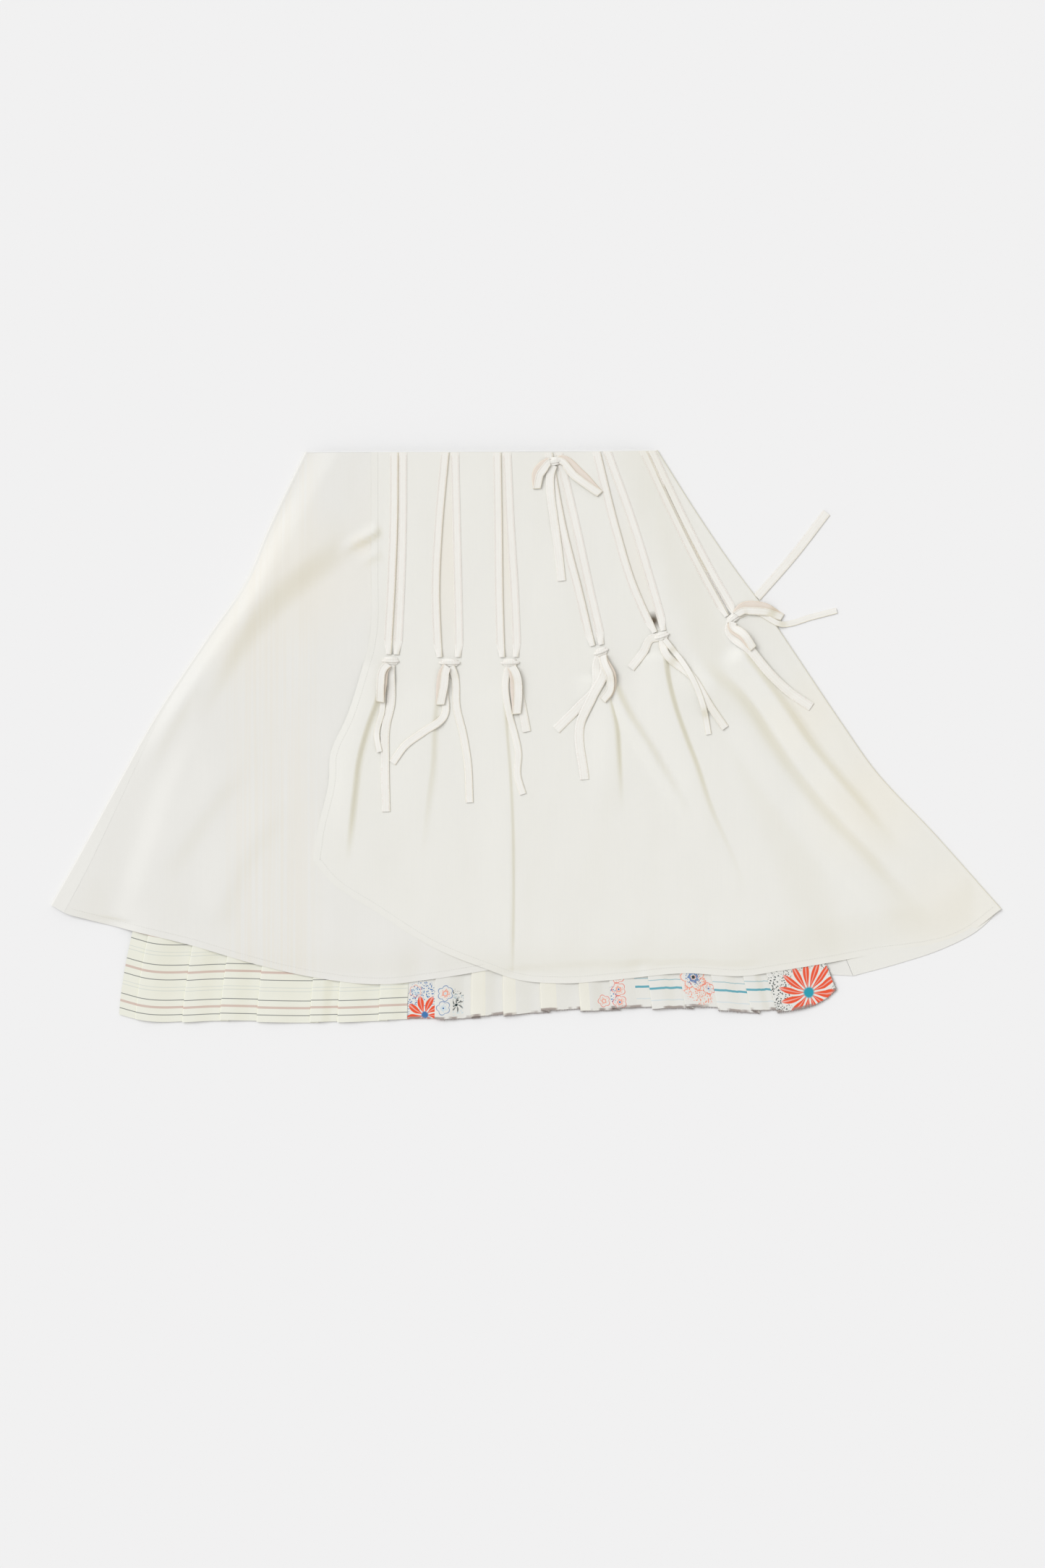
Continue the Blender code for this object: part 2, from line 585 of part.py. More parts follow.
def fan(hem_x, share):
    """x of a pleat line at a share of the way from waist to hem."""
    place = (hem_x - UNDERSKIRT_HEM_ENDS[0]) / (UNDERSKIRT_HEM_ENDS[1] - UNDERSKIRT_HEM_ENDS[0])
    waist_x = UNDERSKIRT_WAIST[0] + (UNDERSKIRT_WAIST[1] - UNDERSKIRT_WAIST[0]) * place
    bend = 1.0 + UNDERSKIRT_FLARE * (1.0 - place)
    return waist_x + (hem_x - waist_x) * (1.0 - (1.0 - np.minimum(share, 1.0)) ** bend)


def pleat_row(start, end, pleats, share):
    """One row across a pleated piece: x, height above the low level and hem drop."""
    narrow = fan(1.0, share) - fan(0.0, share)
    depth = PLEAT_DEPTH * narrow
    radius = LAYER / 2
    row = [(fan(start, share), 0.0, 0.0)]
    drop_before = 0.0
    previous_top_end = fan(start, share)
    for hem_x, drop in pleats:
        line = fan(hem_x, share)
        ramp_end = max(line - PLEAT_RAMP * narrow, previous_top_end + GAP)
        row.append((ramp_end, 0.0, drop_before))
        inner = line + depth - radius
        row.append((inner, 0.0, drop_before))
        for angle in PLEAT_ARC:
            turn = math.radians(angle)
            row.append((inner + radius * math.cos(turn), radius + radius * math.sin(turn), drop_before))
        row.append((inner, LAYER, drop_before))
        outer = line + radius
        row.append((outer, LAYER, drop))
        for angle in PLEAT_ARC:
            turn = math.radians(angle)
            row.append((outer - radius * math.cos(turn), LAYER + radius + radius * math.sin(turn), drop))
        row.append((outer, 2 * LAYER, drop))
        top_end = line + depth + PLEAT_TOP_REACH
        row.append((top_end, 2 * LAYER, drop))
        previous_top_end = top_end
        drop_before = drop
    row.append((fan(end, share), 0.0, drop_before))
    return row


def pleated_piece(name, start, end, pleats, colour):
    """Knife-pleated front piece of the underskirt."""
    hem = line_through(UNDERSKIRT_HEM)
    grid = []
    for share in PLEAT_ROWS:
        row = pleat_row(start, end, pleats, share)
        bottom = pleat_row(start, end, pleats, 1.0)
        line = []
        for (x, height, drop), (hem_x, _, _) in zip(row, bottom):
            hem_y = np.interp(hem_x, hem[:, 0], hem[:, 1]) + drop
            y = UNDERSKIRT_WAIST_Y + (hem_y - UNDERSKIRT_WAIST_Y) * share
            line.append((x, y, PLEAT_LOW_Z + height + drape(y)))
        grid.append(line)
    grid = np.array(grid)
    wall_mesh(name, grid, all_cells(grid), WALL, colour)


def underskirt_back(columns=UNDERSKIRT_BACK_COLUMNS):
    """Plain back of the underskirt."""
    hem = line_through(UNDERSKIRT_HEM)
    grid = []
    for share in PLEAT_ROWS:
        line = []
        start, end = UNDERSKIRT_HEM_ENDS
        for hem_x in np.linspace(start + BACK_INSET, end - BACK_INSET, columns + 1):
            hem_y = np.interp(hem_x, hem[:, 0], hem[:, 1]) + HEM_INSET
            y = UNDERSKIRT_WAIST_Y + (hem_y - UNDERSKIRT_WAIST_Y) * share
            line.append((fan(hem_x, share), y, UNDERSKIRT_BACK_Z + drape(y)))
        grid.append(line)
    grid = np.array(grid)
    wall_mesh("underskirt_back", grid, all_cells(grid), WALL, "shirt cloth")


def strip_frame(route, step):
    """Stations of a strip: centre points and sideways directions."""
    line = line_through(route)
    length = np.linalg.norm(np.diff(line, axis=0), axis=1).sum()
    count = max(3, int(math.ceil(length / step)) + 1)
    centre = along(line, np.linspace(0, 1, count))
    tangent = np.gradient(centre, axis=0)
    tangent = tangent / np.linalg.norm(tangent, axis=1, keepdims=True)
    return centre, np.stack([-tangent[:, 1], tangent[:, 0]], axis=1), tangent


def resting(centre, sideways, tangent, width, step, gap):
    """Height of both edges of a strip that rests on what is built."""
    edges = []
    for side in (1.0, -1.0):
        heights = []
        for point, across, ahead in zip(centre, sideways, tangent):
            best = 0.0
            for reach in PROBE_ACROSS:
                for shift in PROBE_ALONG:
                    place = point + across * side * reach * width / 2 + ahead * shift * step
                    best = max(best, height_below(place[0], place[1]))
            heights.append(best + (gap if best > 0 else FLOOR_GAP))
        edges.append(heights)
    edges = np.array(edges)
    drop = STEEPEST * np.linalg.norm(centre[1] - centre[0])
    for _ in range(2):
        for index in range(1, edges.shape[1]):
            edges[:, index] = np.maximum(edges[:, index], edges[:, index - 1] - drop)
        edges = edges[:, ::-1].copy()
    return edges


def strip(name, route, width, gap=TAPE_GAP, step=STRIP_STEP, on_floor=False):
    """Flat tape that rests on what is built, or on the floor alone."""
    centre, sideways, tangent = strip_frame(route, step)
    if on_floor:
        edges = np.full((2, len(centre)), FLOOR_GAP + TAPE_WALL / 2)
    else:
        edges = resting(centre, sideways, tangent, width, step, gap) + TAPE_WALL / 2
    grid = []
    for side, heights in ((1.0, edges[0]), (-1.0, edges[1])):
        place = centre + sideways * side * width / 2
        grid.append(np.concatenate([place, heights[:, None]], axis=1))
    grid = np.stack(grid, axis=1)[:, ::-1]
    wall_mesh(name, grid, all_cells(grid), TAPE_WALL, "tape")


def loop(name, route, width, shift):
    """Tape that runs out, turns over and comes back on top of itself."""
    centre, sideways, tangent = strip_frame(route, LOOP_STEP)
    edges = resting(centre, sideways, tangent, width + 2 * abs(shift), LOOP_STEP, TAPE_GAP)
    level = edges.max(axis=0) + TAPE_WALL / 2
    half = width / 2
    rows = []
    for point, across, height in zip(centre, sideways, level):
        rows.append((point, across, height))
    for degrees in LOOP_ARC:
        angle = math.radians(degrees)
        point = centre[-1] + tangent[-1] * LOOP_RADIUS * math.cos(angle)
        rows.append((point, sideways[-1], level[-1] + LOOP_RADIUS * (1 + math.sin(angle))))
    count = len(centre)
    for index in range(count - 1, -1, -1):
        bow = math.sin(math.pi * index / (count - 1)) * shift
        lift = LOOP_LIFT * math.sin(math.pi * index / (count - 1))
        rows.append((centre[index] + sideways[index] * bow, sideways[index],
                     level[index] + 2 * LOOP_RADIUS + lift))
    grid = np.array([
        [(*(point - across * half), height), (*(point + across * half), height)]
        for point, across, height in rows
    ])
    wall_mesh(name, seated(grid), all_cells(grid), TAPE_WALL, "tape")


def seated(grid):
    """Grid lowered until its lowest points lie just clear of what is built."""
    finer = grid
    for _ in range(2):
        finer = np.insert(finer, range(1, len(finer)), (finer[1:] + finer[:-1]) / 2, axis=0)
        finer = finer.swapaxes(0, 1)
    points = finer.reshape(-1, 3)
    clear = min(z - height_below(x, y) for x, y, z in points)
    return grid + np.array([0.0, 0.0, TAPE_GAP + TAPE_WALL / 2 - clear])


def slit_tapes():
    """Two tapes beside each slit, from the waist to just above the knot."""
    for number, slit in enumerate(SLITS, start=1):
        for side, label in ((-1.0, "left"), (1.0, "right")):
            first, second = slit[label][:2]
            lean = side * (second[0] - first[0]) / (first[1] - second[1])
            start = (TAPE_INSET + max(0.0, lean) * TAPE_WIDTH) / SLIT_LENGTH
            centre = along(line_through(slit[label]), np.linspace(start, 1.0, TAPE_SAMPLES))
            tangent = np.gradient(centre, axis=0)
            tangent = tangent / np.linalg.norm(tangent, axis=1, keepdims=True)
            across = np.stack([-tangent[:, 1], tangent[:, 0]], axis=1)
            reach = (TAPE_WIDTH / 2 + TAPE_CLEAR) * side
            strip(f"slit_tape_{number}_{label}", centre + across * reach, TAPE_WIDTH, GAP, TAPE_STEP)


def back_tie():
    """Tie that comes out from the back below the right side and lies on the floor."""
    outline = line_through(RIGHT_OUTLINE_ABOVE)
    side = outline[np.argmin(np.abs(outline[:, 1] - BACK_TIE_Y))]
    end = np.array(BACK_TIE_END, float)
    ahead = (end - side) / np.linalg.norm(end - side)
    strip("back_tie", (side + ahead * BACK_TIE_CLEAR, end), BACK_TIE_WIDTH, on_floor=True)


def knot(name, centre, direction, half_width):
    """Band of tape wrapped round where the ties cross."""
    ahead = np.array([math.cos(math.radians(direction)), math.sin(math.radians(direction))])
    across = np.array([-ahead[1], ahead[0]])
    grid = []
    for place in KNOT_ROWS:
        swell = 1.0 - KNOT_SWELL * place**2
        row = []
        for step in range(KNOT_STEPS + 1):
            angle = math.radians(KNOT_START + KNOT_TURN * step / KNOT_STEPS)
            wide = (half_width - TAPE_WALL / 2) * swell * math.cos(angle)
            high = KNOT_HALF_HEIGHT * swell * math.sin(angle)
            spot = np.array(centre) + ahead * place * KNOT_LENGTH + across * wide
            row.append((spot[0], spot[1], high))
        grid.append(row)
    grid = seated(np.array(grid))
    wall_mesh(name, grid, all_cells(grid), TAPE_WALL, "tape")


def build():
    """Make every piece, from the floor up."""
    for item in list(bpy.data.objects):
        bpy.data.objects.remove(item, do_unlink=True)
    back_panel()
    underskirt_back()
    left_end, right_end = UNDERSKIRT_HEM_ENDS
    pleated_piece("underskirt_striped", left_end, UNDERSKIRT_SEAM - GAP, STRIPE_PLEATS, "shirt cloth")
    pleated_piece("underskirt_printed", UNDERSKIRT_SEAM, right_end, PRINT_PLEATS, "print cloth")
    under_panel()
    over_panel()
    slit_tapes()
    back_tie()
    for name, route, width in TAILS:
        strip(name, route, width)
    for name, route, width, shift in LOOPS:
        loop(name, route, width, shift)
    for name, centre, direction, half_width in KNOTS:
        knot(name, centre, direction, half_width)


build()
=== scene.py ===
"""Looks of the wrap skirt laid flat over its pleated underskirt, laid out as an add-on."""
import math

import bpy
import numpy as np
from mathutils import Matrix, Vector, noise
from mathutils.bvhtree import BVHTree


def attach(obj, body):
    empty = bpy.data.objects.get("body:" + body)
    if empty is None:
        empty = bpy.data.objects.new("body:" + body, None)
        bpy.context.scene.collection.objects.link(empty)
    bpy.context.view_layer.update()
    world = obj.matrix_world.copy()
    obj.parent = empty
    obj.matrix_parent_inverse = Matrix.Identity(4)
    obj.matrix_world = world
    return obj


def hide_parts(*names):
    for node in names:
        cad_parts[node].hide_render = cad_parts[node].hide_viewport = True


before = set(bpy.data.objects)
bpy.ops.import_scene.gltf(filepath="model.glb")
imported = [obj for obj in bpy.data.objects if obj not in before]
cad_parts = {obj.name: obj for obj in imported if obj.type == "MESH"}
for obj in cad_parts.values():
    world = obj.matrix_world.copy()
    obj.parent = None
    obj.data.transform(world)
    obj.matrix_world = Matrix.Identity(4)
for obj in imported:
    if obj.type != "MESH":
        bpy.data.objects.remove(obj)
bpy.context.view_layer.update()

bl_info = {
    "name": "Wrap Skirt",
    "version": (1, 0, 0),
    "blender": (4, 5, 0),
    "location": "View3D > Sidebar > Skirt",
    "description": "Wrap skirt laid flat over a knife-pleated underskirt",
    "category": "Object",
}

# Layout, in millimetres, the same as the solids have it
MM = 0.001
CENTRE = np.array([0.476, -1.9, 0.0])
WALL = 1.0
GAP = 0.4
LAYER = WALL + GAP
BACK_Z = WALL / 2
UNDERSKIRT_BACK_Z = BACK_Z + LAYER
PLEAT_LOW_Z = UNDERSKIRT_BACK_Z + LAYER
UNDER_PANEL_Z = PLEAT_LOW_Z + 3 * LAYER
OVER_PANEL_Z = UNDER_PANEL_Z + LAYER
SIDE_RADIUS = 1.25
SEAM_GAP = 0.06
SIDE_TOP_Z = BACK_Z + 2 * SIDE_RADIUS
SIDE_CLEAR = 16.0
RISE_REACH = (22.0, 42.0)
RISE_LENGTH = (30.0, 64.0)
DRAPE_START_Y = -266.0
DRAPE_LENGTH = 22.0

LEFT_OUTLINE = (
    (-240, 308), (-281, 222), (-304, 168), (-344, 109), (-404, 18),
    (-449, -63), (-491, -140), (-517, -186),
)
RIGHT_OUTLINE_ABOVE = ((143, 310), (191, 234), (228, 180), (262, 135))
RIGHT_OUTLINE_BELOW = ((262, 135), (300, 78), (345, 11), (378, -36), (445, -108), (518, -190))
OVER_EDGE_ABOVE = ((-168, 307), (-168, 185), (-169, 112), (-172, 92))
OVER_EDGE_BELOW = ((-172, 92), (-194, 21), (-213, -24), (-214, -48), (-227, -107), (-231, -137))
OVER_HEM = (
    (-231, -137), (-214, -158), (-164, -192), (-98, -233), (-41, -256), (-13, -266), (38, -271),
    (98, -267), (174, -260), (238, -263), (279, -257), (372, -241), (482, -217), (518, -190),
)
UNDER_HEM = (
    (-503, -195), (-420, -216), (-370, -228), (-291, -251), (-239, -263), (-150, -272),
    (-99, -266), (-21, -254), (80, -249), (180, -247), (240, -249),
)
BACK_HEM = (
    (356.6, -263), (200, -254), (0, -252), (-140, -255), (-291, -240), (-420, -206), (-517, -186),
)
BACK_HEM_RIGHT = ((518, -190), (492, -214), (453, -234), (408, -249), (357, -263))
BACK_SEAM_WAIST = (120, 309)
BACK_SEAM_FOOT = (196, 125)
BACK_SEAM_HEM = (357, -263)
UNDER_HIDDEN_EDGE = ((104, 306), (240, -249))
SIDE_SEAM_START_Y = 82.0
SIDE_SEAM_MIN = 3.0
SIDE_SEAM_AT_HEM = 16.0
SIDE_SEAM_LENGTH = 272.0
LAP_CLEAR = 5.0
LAP_RISE = 16.0
TUCK_REACH = 22.0

SLITS = (
    {"left": ((-139, 307), (-139.5, 236), (-141.7, 174), (-146.4, 87)),
     "right": ((-137.8, 307), (-138, 236), (-139.5, 174), (-143.4, 87)),
     "crease": ((-160, 50), (-171, 20), (-187, -40), (-193, -90), (-198, -167)), "clear": -0.5},
    {"left": ((-83.4, 307), (-90.9, 222), (-93.7, 160), (-91, 84)),
     "right": ((-81.4, 307), (-79.5, 222), (-77.9, 155), (-76.5, 84)),
     "crease": ((-98, 30), (-102, -20), (-110, -90), (-118, -221))},
    {"left": ((-26.9, 307), (-25.6, 222), (-24.6, 145), (-22.8, 84)),
     "right": ((-24.6, 307), (-20.6, 222), (-16.2, 150), (-13.6, 84)),
     "crease": ((-21, 20), (-17, -40), (-14, -100), (-13, -160), (-15, -266))},
    {"left": ((29, 307), (44.1, 225.5), (62.2, 154), (75.5, 97)),
     "right": ((31.5, 307), (50.6, 225.5), (66.2, 154), (79.5, 97)),
     "crease": ((92, 40), (99, 5), (104, -50), (120, -151), (136, -263))},
    {"left": ((81, 308), (101.5, 225.5), (118, 170), (143, 112)),
     "right": ((84, 308), (113.5, 225.5), (130.5, 170), (147, 112)),
     "crease": ((155, 62), (163, 28), (187, -32), (224, -126), (274, -258))},
    {"left": ((131, 309), (170.5, 225.5), (190.5, 186), (221, 130)),
     "right": ((133.5, 309), (173.5, 225.5), (194, 186), (226, 130)),
     "crease": ((256, 62), (304, -12), (361, -80), (433, -144), (486, -214)), "clear": -1.6},
)

CREASE_WIDTH = 1.2
CREASE_START = 0.2

# Folds: line, height, width of each flank, share of the line that fades in and out
OVER_FOLDS = (
    {"line": ((-152, 74), (-158, 58), (-165, 36), (-175, 8), (-184, -25), (-189, -65), (-198, -148)),
     "high": 3.8, "left": 40, "right": 6.5, "fade_in": 0.05, "fade_out": 0.35},
    {"line": ((-96, 62), (-102, 20), (-104, -30), (-110, -80), (-118, -150)),
     "high": 2.3, "left": 50, "right": 8, "fade_in": 0.2, "fade_out": 0.7},
    {"line": ((-25, 60), (-22, 10), (-18, -40), (-15.5, -90), (-14.5, -147), (-16, -266)),
     "high": 1.5, "left": 44, "right": 2.4, "fade_in": 0.1, "fade_out": 0.0},
    {"line": ((87, 68), (90, 40), (96, 10), (99, -30), (102, -90)),
     "high": 3.8, "left": 40, "right": 6, "fade_in": 0.05, "fade_out": 0.6},
    {"line": ((90, 62), (110, 20), (131, -12), (152, -46), (168, -70), (196, -130)),
     "high": 4.2, "left": 14, "right": 9, "fade_in": 0.06, "fade_out": 0.6},
    {"line": ((148, 92), (152, 60), (160, 28), (172, -6), (182, -32), (198, -80), (220, -130), (244, -190)),
     "high": 4.2, "left": 40, "right": 7, "fade_in": 0.03, "fade_out": 0.75},
    {"line": ((168, 82), (195, 61), (228, 34), (258, -9), (284, -48), (328, -101), (364, -138),
              (390, -168), (420, -196), (450, -217)),
     "high": 7.4, "left": 34, "right": 20, "fade_in": 0.12, "fade_out": 0.3},
    {"line": ((226, 98), (252, 64), (281, 25), (307, -13), (333, -45), (358, -74), (384, -105),
              (418, -136)),
     "high": 7.0, "left": 26, "right": 12.5, "fade_in": 0.06, "fade_out": 0.4},
)
UNDER_TUCKS = (
    {"line": ((-158, 222), (-172, 214), (-186, 207), (-204, 193)),
     "high": 3.5, "left": 12, "right": 4.5, "fade_in": 0.04, "fade_out": 0.7},
    {"line": ((-158, 196), (-172, 190), (-184, 182)),
     "high": 1.6, "left": 9, "right": 5, "fade_in": 0.04, "fade_out": 0.7},
)
UNDER_FOLDS = (
    {"line": ((-190, 232), (-214, 214), (-262, 178), (-308, 134), (-336, 98), (-380, 30), (-424, -54)),
     "high": 6.2, "left": 70, "right": 36, "fade_in": 0.15, "fade_out": 0.3},
    {"line": ((-300, -20), (-338, -62), (-372, -112), (-402, -160)),
     "high": 1.5, "left": 40, "right": 20, "fade_in": 0.35, "fade_out": 0.3},
    {"line": ((-262, -60), (-318, -150), (-346, -225)),
     "high": 1.3, "left": 36, "right": 20, "fade_in": 0.35, "fade_out": 0.2},
)

UNDERSKIRT_WAIST_Y = 298.0
UNDERSKIRT_WAIST = (-214.0, 114.0)
UNDERSKIRT_HEM_ENDS = (-443.0, 338.0)
UNDERSKIRT_FLARE = 0.45
UNDERSKIRT_SEAM = -129.0
UNDERSKIRT_HEM = (
    (-443, -305), (-425, -310), (-334, -311), (-239, -313), (-128, -310), (-68, -308), (12, -301),
    (91, -298), (174, -296), (208, -297), (257, -300), (294, -298), (328, -285), (338, -276),
)
STRIPE_PLEATS = ((-425, 0), (-374, -1), (-333, 0), (-293, -1), (-235, 0), (-205, -1), (-160, 0))
PRINT_PLEATS = (
    (-99, -1), (-59, 0), (-24, -2), (17, 0), (60, -2), (94, 0), (138, -2), (174, 0),
    (210, -3), (246, 0), (274, -2),
)
PLEAT_DEPTH = 9.0
PLEAT_RAMP = 6.0

# Ties: node, route, visible width
TAILS = (
    ("tie_tail_1_long", ((-147, 70), (-147, 32), (-152, 10), (-153, -30), (-152, -84)), 9.0),
    ("tie_tail_1_short", ((-154, 64), (-156, 26), (-162, 0), (-159, -19)), 6.0),
    ("tie_tail_2_left", ((-88, 66), (-90, 18), (-112, 2), (-131, -12), (-145, -31)), 8.0),
    ("tie_tail_2_right", ((-78, 66), (-75, 29), (-68, 0), (-63, -31), (-61, -74)), 8.0),
    ("tie_tail_3_left", ((-21, 64), (-18, 22), (-12, 0), (-8, -20), (-9, -44), (-3, -65)), 7.0),
    ("tie_tail_3_right", ((-11, 66), (-6, 40), (1, 3)), 9.0),
    ("tie_tail_4_left", ((78, 78), (76, 50), (58, 30), (33, 5)), 10.0),
    ("tie_tail_4_down", ((86, 76), (72, 40), (60, 14), (64, -49)), 10.0),
    ("tie_tail_5_left", ((136, 104), (128, 90), (114, 72)), 9.0),
    ("tie_tail_5_long", ((150, 93), (182, 61), (201, 30), (217, 7)), 8.0),
    ("tie_tail_5_thin", ((155, 98), (172, 76), (186, 50), (195, 22), (199, 0)), 6.0),
    ("tie_tail_6_long", ((222, 116), (246, 90), (265, 67), (290, 44), (311, 30)), 10.0),
    ("tie_tail_6_right", ((245, 134), (280, 120), (312, 128), (339, 135)), 6.0),
    ("waist_tail", ((27, 284), (27, 262), (30, 238), (35, 202), (39, 167)), 9.0),
)
LOOPS = (
    ("tie_loop_1", ((-152, 72), (-155, 54), (-158, 36)), 8.0, -3.0),
    ("tie_loop_2", ((-90, 68), (-93, 50), (-93, 33)), 9.0, 4.0),
    ("tie_loop_3", ((-14, 68), (-12, 46), (-10, 23)), 9.0, 4.0),
    ("tie_loop_4", ((86, 80), (94, 64), (92, 46), (84, 38)), 8.0, -3.0),
    ("tie_loop_6_right", ((234, 138), (258, 140), (279, 128)), 8.0, -7.0),
    ("tie_loop_6_low", ((224, 118), (236, 106), (247, 94)), 8.0, 3.0),
    ("waist_loop_left", ((24, 296), (12, 286), (12, 268)), 8.0, 5.0),
    ("waist_loop_right", ((38, 299), (60, 284), (80, 262)), 8.0, -7.0),
)
KNOTS = (
    ("knot_1", (-147, 80), -92, 9.5),
    ("knot_2", (-83, 78), -90, 12.0),
    ("knot_3", (-17, 78), -88, 10.5),
    ("knot_4", (82, 90), -70, 8.5),
    ("knot_5", (148, 107), -72, 8.5),
    ("knot_6", (226, 127), -55, 9.0),
    ("waist_knot", (31, 297), -80, 8.0),
)
BACK_TIE_Y = 149.0
BACK_TIE_END = (328, 242)
BACK_TIE_CLEAR = 0.9

# Fine grids of the shells
LINE_SAMPLES = 400
SIDE_STEPS = 10
FOLDED_COLUMNS = 24
BACK_COLUMNS = 60
STRIP_SHARES = (0.25, 0.5, 0.75, 1.0)
UNDERSKIRT_BACK_COLUMNS = 90
PLEAT_ROWS = 34
OVER_LENGTH = 350.0
PANEL_LENGTH = 575.0
PLEAT_LENGTH = 600.0
PLEAT_TOP_REACH = 1.5
HEM_INSET = 4.0
BACK_INSET = 2.0
HEM_SPARE = 0.4
RAY_HEIGHT = 200.0
OVER_STEPS = (12, 20, 20, 28, 28, 46, 14)
COLUMN_DRAW = 0.09
SLIT_ROWS = 50
SKIRT_ROWS = 96
SIDE_ROWS = 130
UNDER_COLUMNS = 110
ACROSS = 13
RIBBON_STEP = 2.0
REST_GAP = 0.04
LOOP_RADIUS = 0.8
LOOP_LIFT = 0.9
TAIL_LEAN = 7.0
SIDES = ((-1.0, "left"), (1.0, "right"))
EDGE_RADIUS = 0.5
TAPE_CLEAR = -0.3
KNOT_CLEAR = 4.6
# Share of the painted brown shade inside the loops
LOOP_SHADE_SHARE = 0.42
TAPE_SPARE = 12.0
SLIT_TAPE_SHOWN = 9.2
SHARP_ANGLE = 50.0
SUN_FROM = (-1.25, 0.85, 1.8)
# Gain of the painted warm shade on slopes turned away from the sun
PAINTED_SHADE_GAIN = 2.6
REST_REACH = 55.0
SQUEEZE = 0.62
SEED = 4


class SkirtSizes(bpy.types.PropertyGroup):
    """Sizes that the shells and the sewing share."""

    cloth_wall: bpy.props.FloatProperty(
        name="Cloth", description="Thickness of the cloth", default=0.0008, unit="LENGTH")
    tape_wall: bpy.props.FloatProperty(
        name="Tape", description="Thickness of the tape", default=0.00035, unit="LENGTH")
    tape_width: bpy.props.FloatProperty(
        name="Tape width", description="Width of the flat tape", default=0.0105, unit="LENGTH")
    hem_width: bpy.props.FloatProperty(
        name="Hem", description="Width of the turned hem", default=0.008, unit="LENGTH")
    hem_rise: bpy.props.FloatProperty(
        name="Hem rise", description="Extra thickness of the hem", default=0.00006, unit="LENGTH")
    ripple: bpy.props.FloatProperty(
        name="Ripple", description="Height of the slow unevenness", default=0.0013, unit="LENGTH")
    stitch_length: bpy.props.FloatProperty(
        name="Stitch", description="Length of one stitch", default=0.0022, unit="LENGTH")
    thread_width: bpy.props.FloatProperty(
        name="Thread", description="Width of the sewing thread", default=0.0004, unit="LENGTH")


class SkirtColours(bpy.types.PropertyGroup):
    """Colours of the cloths, the tape and the thread."""

    ivory: bpy.props.FloatVectorProperty(
        name="Ivory cloth", description="Colour of the skirt", subtype="COLOR",
        default=(0.868, 0.860, 0.822), min=0.0, max=1.0)
    tape: bpy.props.FloatVectorProperty(
        name="Tape", description="Colour of the twill tape", subtype="COLOR",
        default=(0.935, 0.922, 0.875), min=0.0, max=1.0)
    shirt: bpy.props.FloatVectorProperty(
        name="Shirt cloth", description="Ground of the striped cloth", subtype="COLOR",
        default=(0.87, 0.87, 0.775), min=0.0, max=1.0)
    dark_stripe: bpy.props.FloatVectorProperty(
        name="Dark stripe", description="Narrow dark stripe", subtype="COLOR",
        default=(0.10, 0.11, 0.12), min=0.0, max=1.0)
    pink_stripe: bpy.props.FloatVectorProperty(
        name="Pink stripe", description="Wider pink-brown stripe", subtype="COLOR",
        default=(0.60, 0.41, 0.36), min=0.0, max=1.0)
    voile: bpy.props.FloatVectorProperty(
        name="Voile", description="Grey voile of the printed cloth", subtype="COLOR",
        default=(0.835, 0.83, 0.79), min=0.0, max=1.0)
    cream: bpy.props.FloatVectorProperty(
        name="Cream", description="Cream strips of the printed cloth", subtype="COLOR",
        default=(0.87, 0.855, 0.77), min=0.0, max=1.0)
    orange: bpy.props.FloatVectorProperty(
        name="Orange", description="Orange-red of the flowers", subtype="COLOR",
        default=(0.84, 0.10, 0.04), min=0.0, max=1.0)
    blue: bpy.props.FloatVectorProperty(
        name="Blue", description="Blue of the flowers", subtype="COLOR",
        default=(0.06, 0.19, 0.44), min=0.0, max=1.0)
    teal: bpy.props.FloatVectorProperty(
        name="Teal", description="Teal of the lines and flower hearts", subtype="COLOR",
        default=(0.03, 0.35, 0.46), min=0.0, max=1.0)
    dark: bpy.props.FloatVectorProperty(
        name="Dark", description="Near-black of the dots and leaves", subtype="COLOR",
        default=(0.03, 0.05, 0.05), min=0.0, max=1.0)
    thread: bpy.props.FloatVectorProperty(
        name="Thread", description="Colour of the sewing thread", subtype="COLOR",
        default=(0.74, 0.66, 0.60), min=0.0, max=1.0)
    fray: bpy.props.FloatVectorProperty(
        name="Fray", description="Colour of the loose yarn ends", subtype="COLOR",
        default=(0.30, 0.24, 0.22), min=0.0, max=1.0)


def size(name):
    """One of the shared sizes, in millimetres."""
    return getattr(bpy.context.scene.skirt_sizes, name) / MM


def colour(name):
    """One of the shared colours, as a colour with alpha."""
    return (*getattr(bpy.context.scene.skirt_colours, name), 1.0)


def ease(value):
    """Smooth step from 0 to 1."""
    value = np.clip(value, 0.0, 1.0)
    return value * value * (3.0 - 2.0 * value)


def line_through(points, count=LINE_SAMPLES):
    """Smooth dense line through a short row of points."""
    points = np.array(points, float)
    if len(points) == 2:
        return points[0] + np.linspace(0, 1, count)[:, None] * (points[1] - points[0])
    knots = np.concatenate([[0], np.cumsum(np.linalg.norm(np.diff(points, axis=0), axis=1))])
    slopes = np.gradient(points, knots, axis=0)
    place = np.linspace(0, knots[-1], count)
    first = np.clip(np.searchsorted(knots, place, side="right") - 1, 0, len(knots) - 2)
    span = (knots[first + 1] - knots[first])[:, None]
    u = (place - knots[first])[:, None] / span
    return (
        (2 * u**3 - 3 * u**2 + 1) * points[first]
        + (u**3 - 2 * u**2 + u) * span * slopes[first]
        + (3 * u**2 - 2 * u**3) * points[first + 1]
        + (u**3 - u**2) * span * slopes[first + 1]
    )


def line_length(line):
    """Length along a line at each of its points."""
    return np.concatenate([[0], np.cumsum(np.linalg.norm(np.diff(line, axis=0), axis=1))])


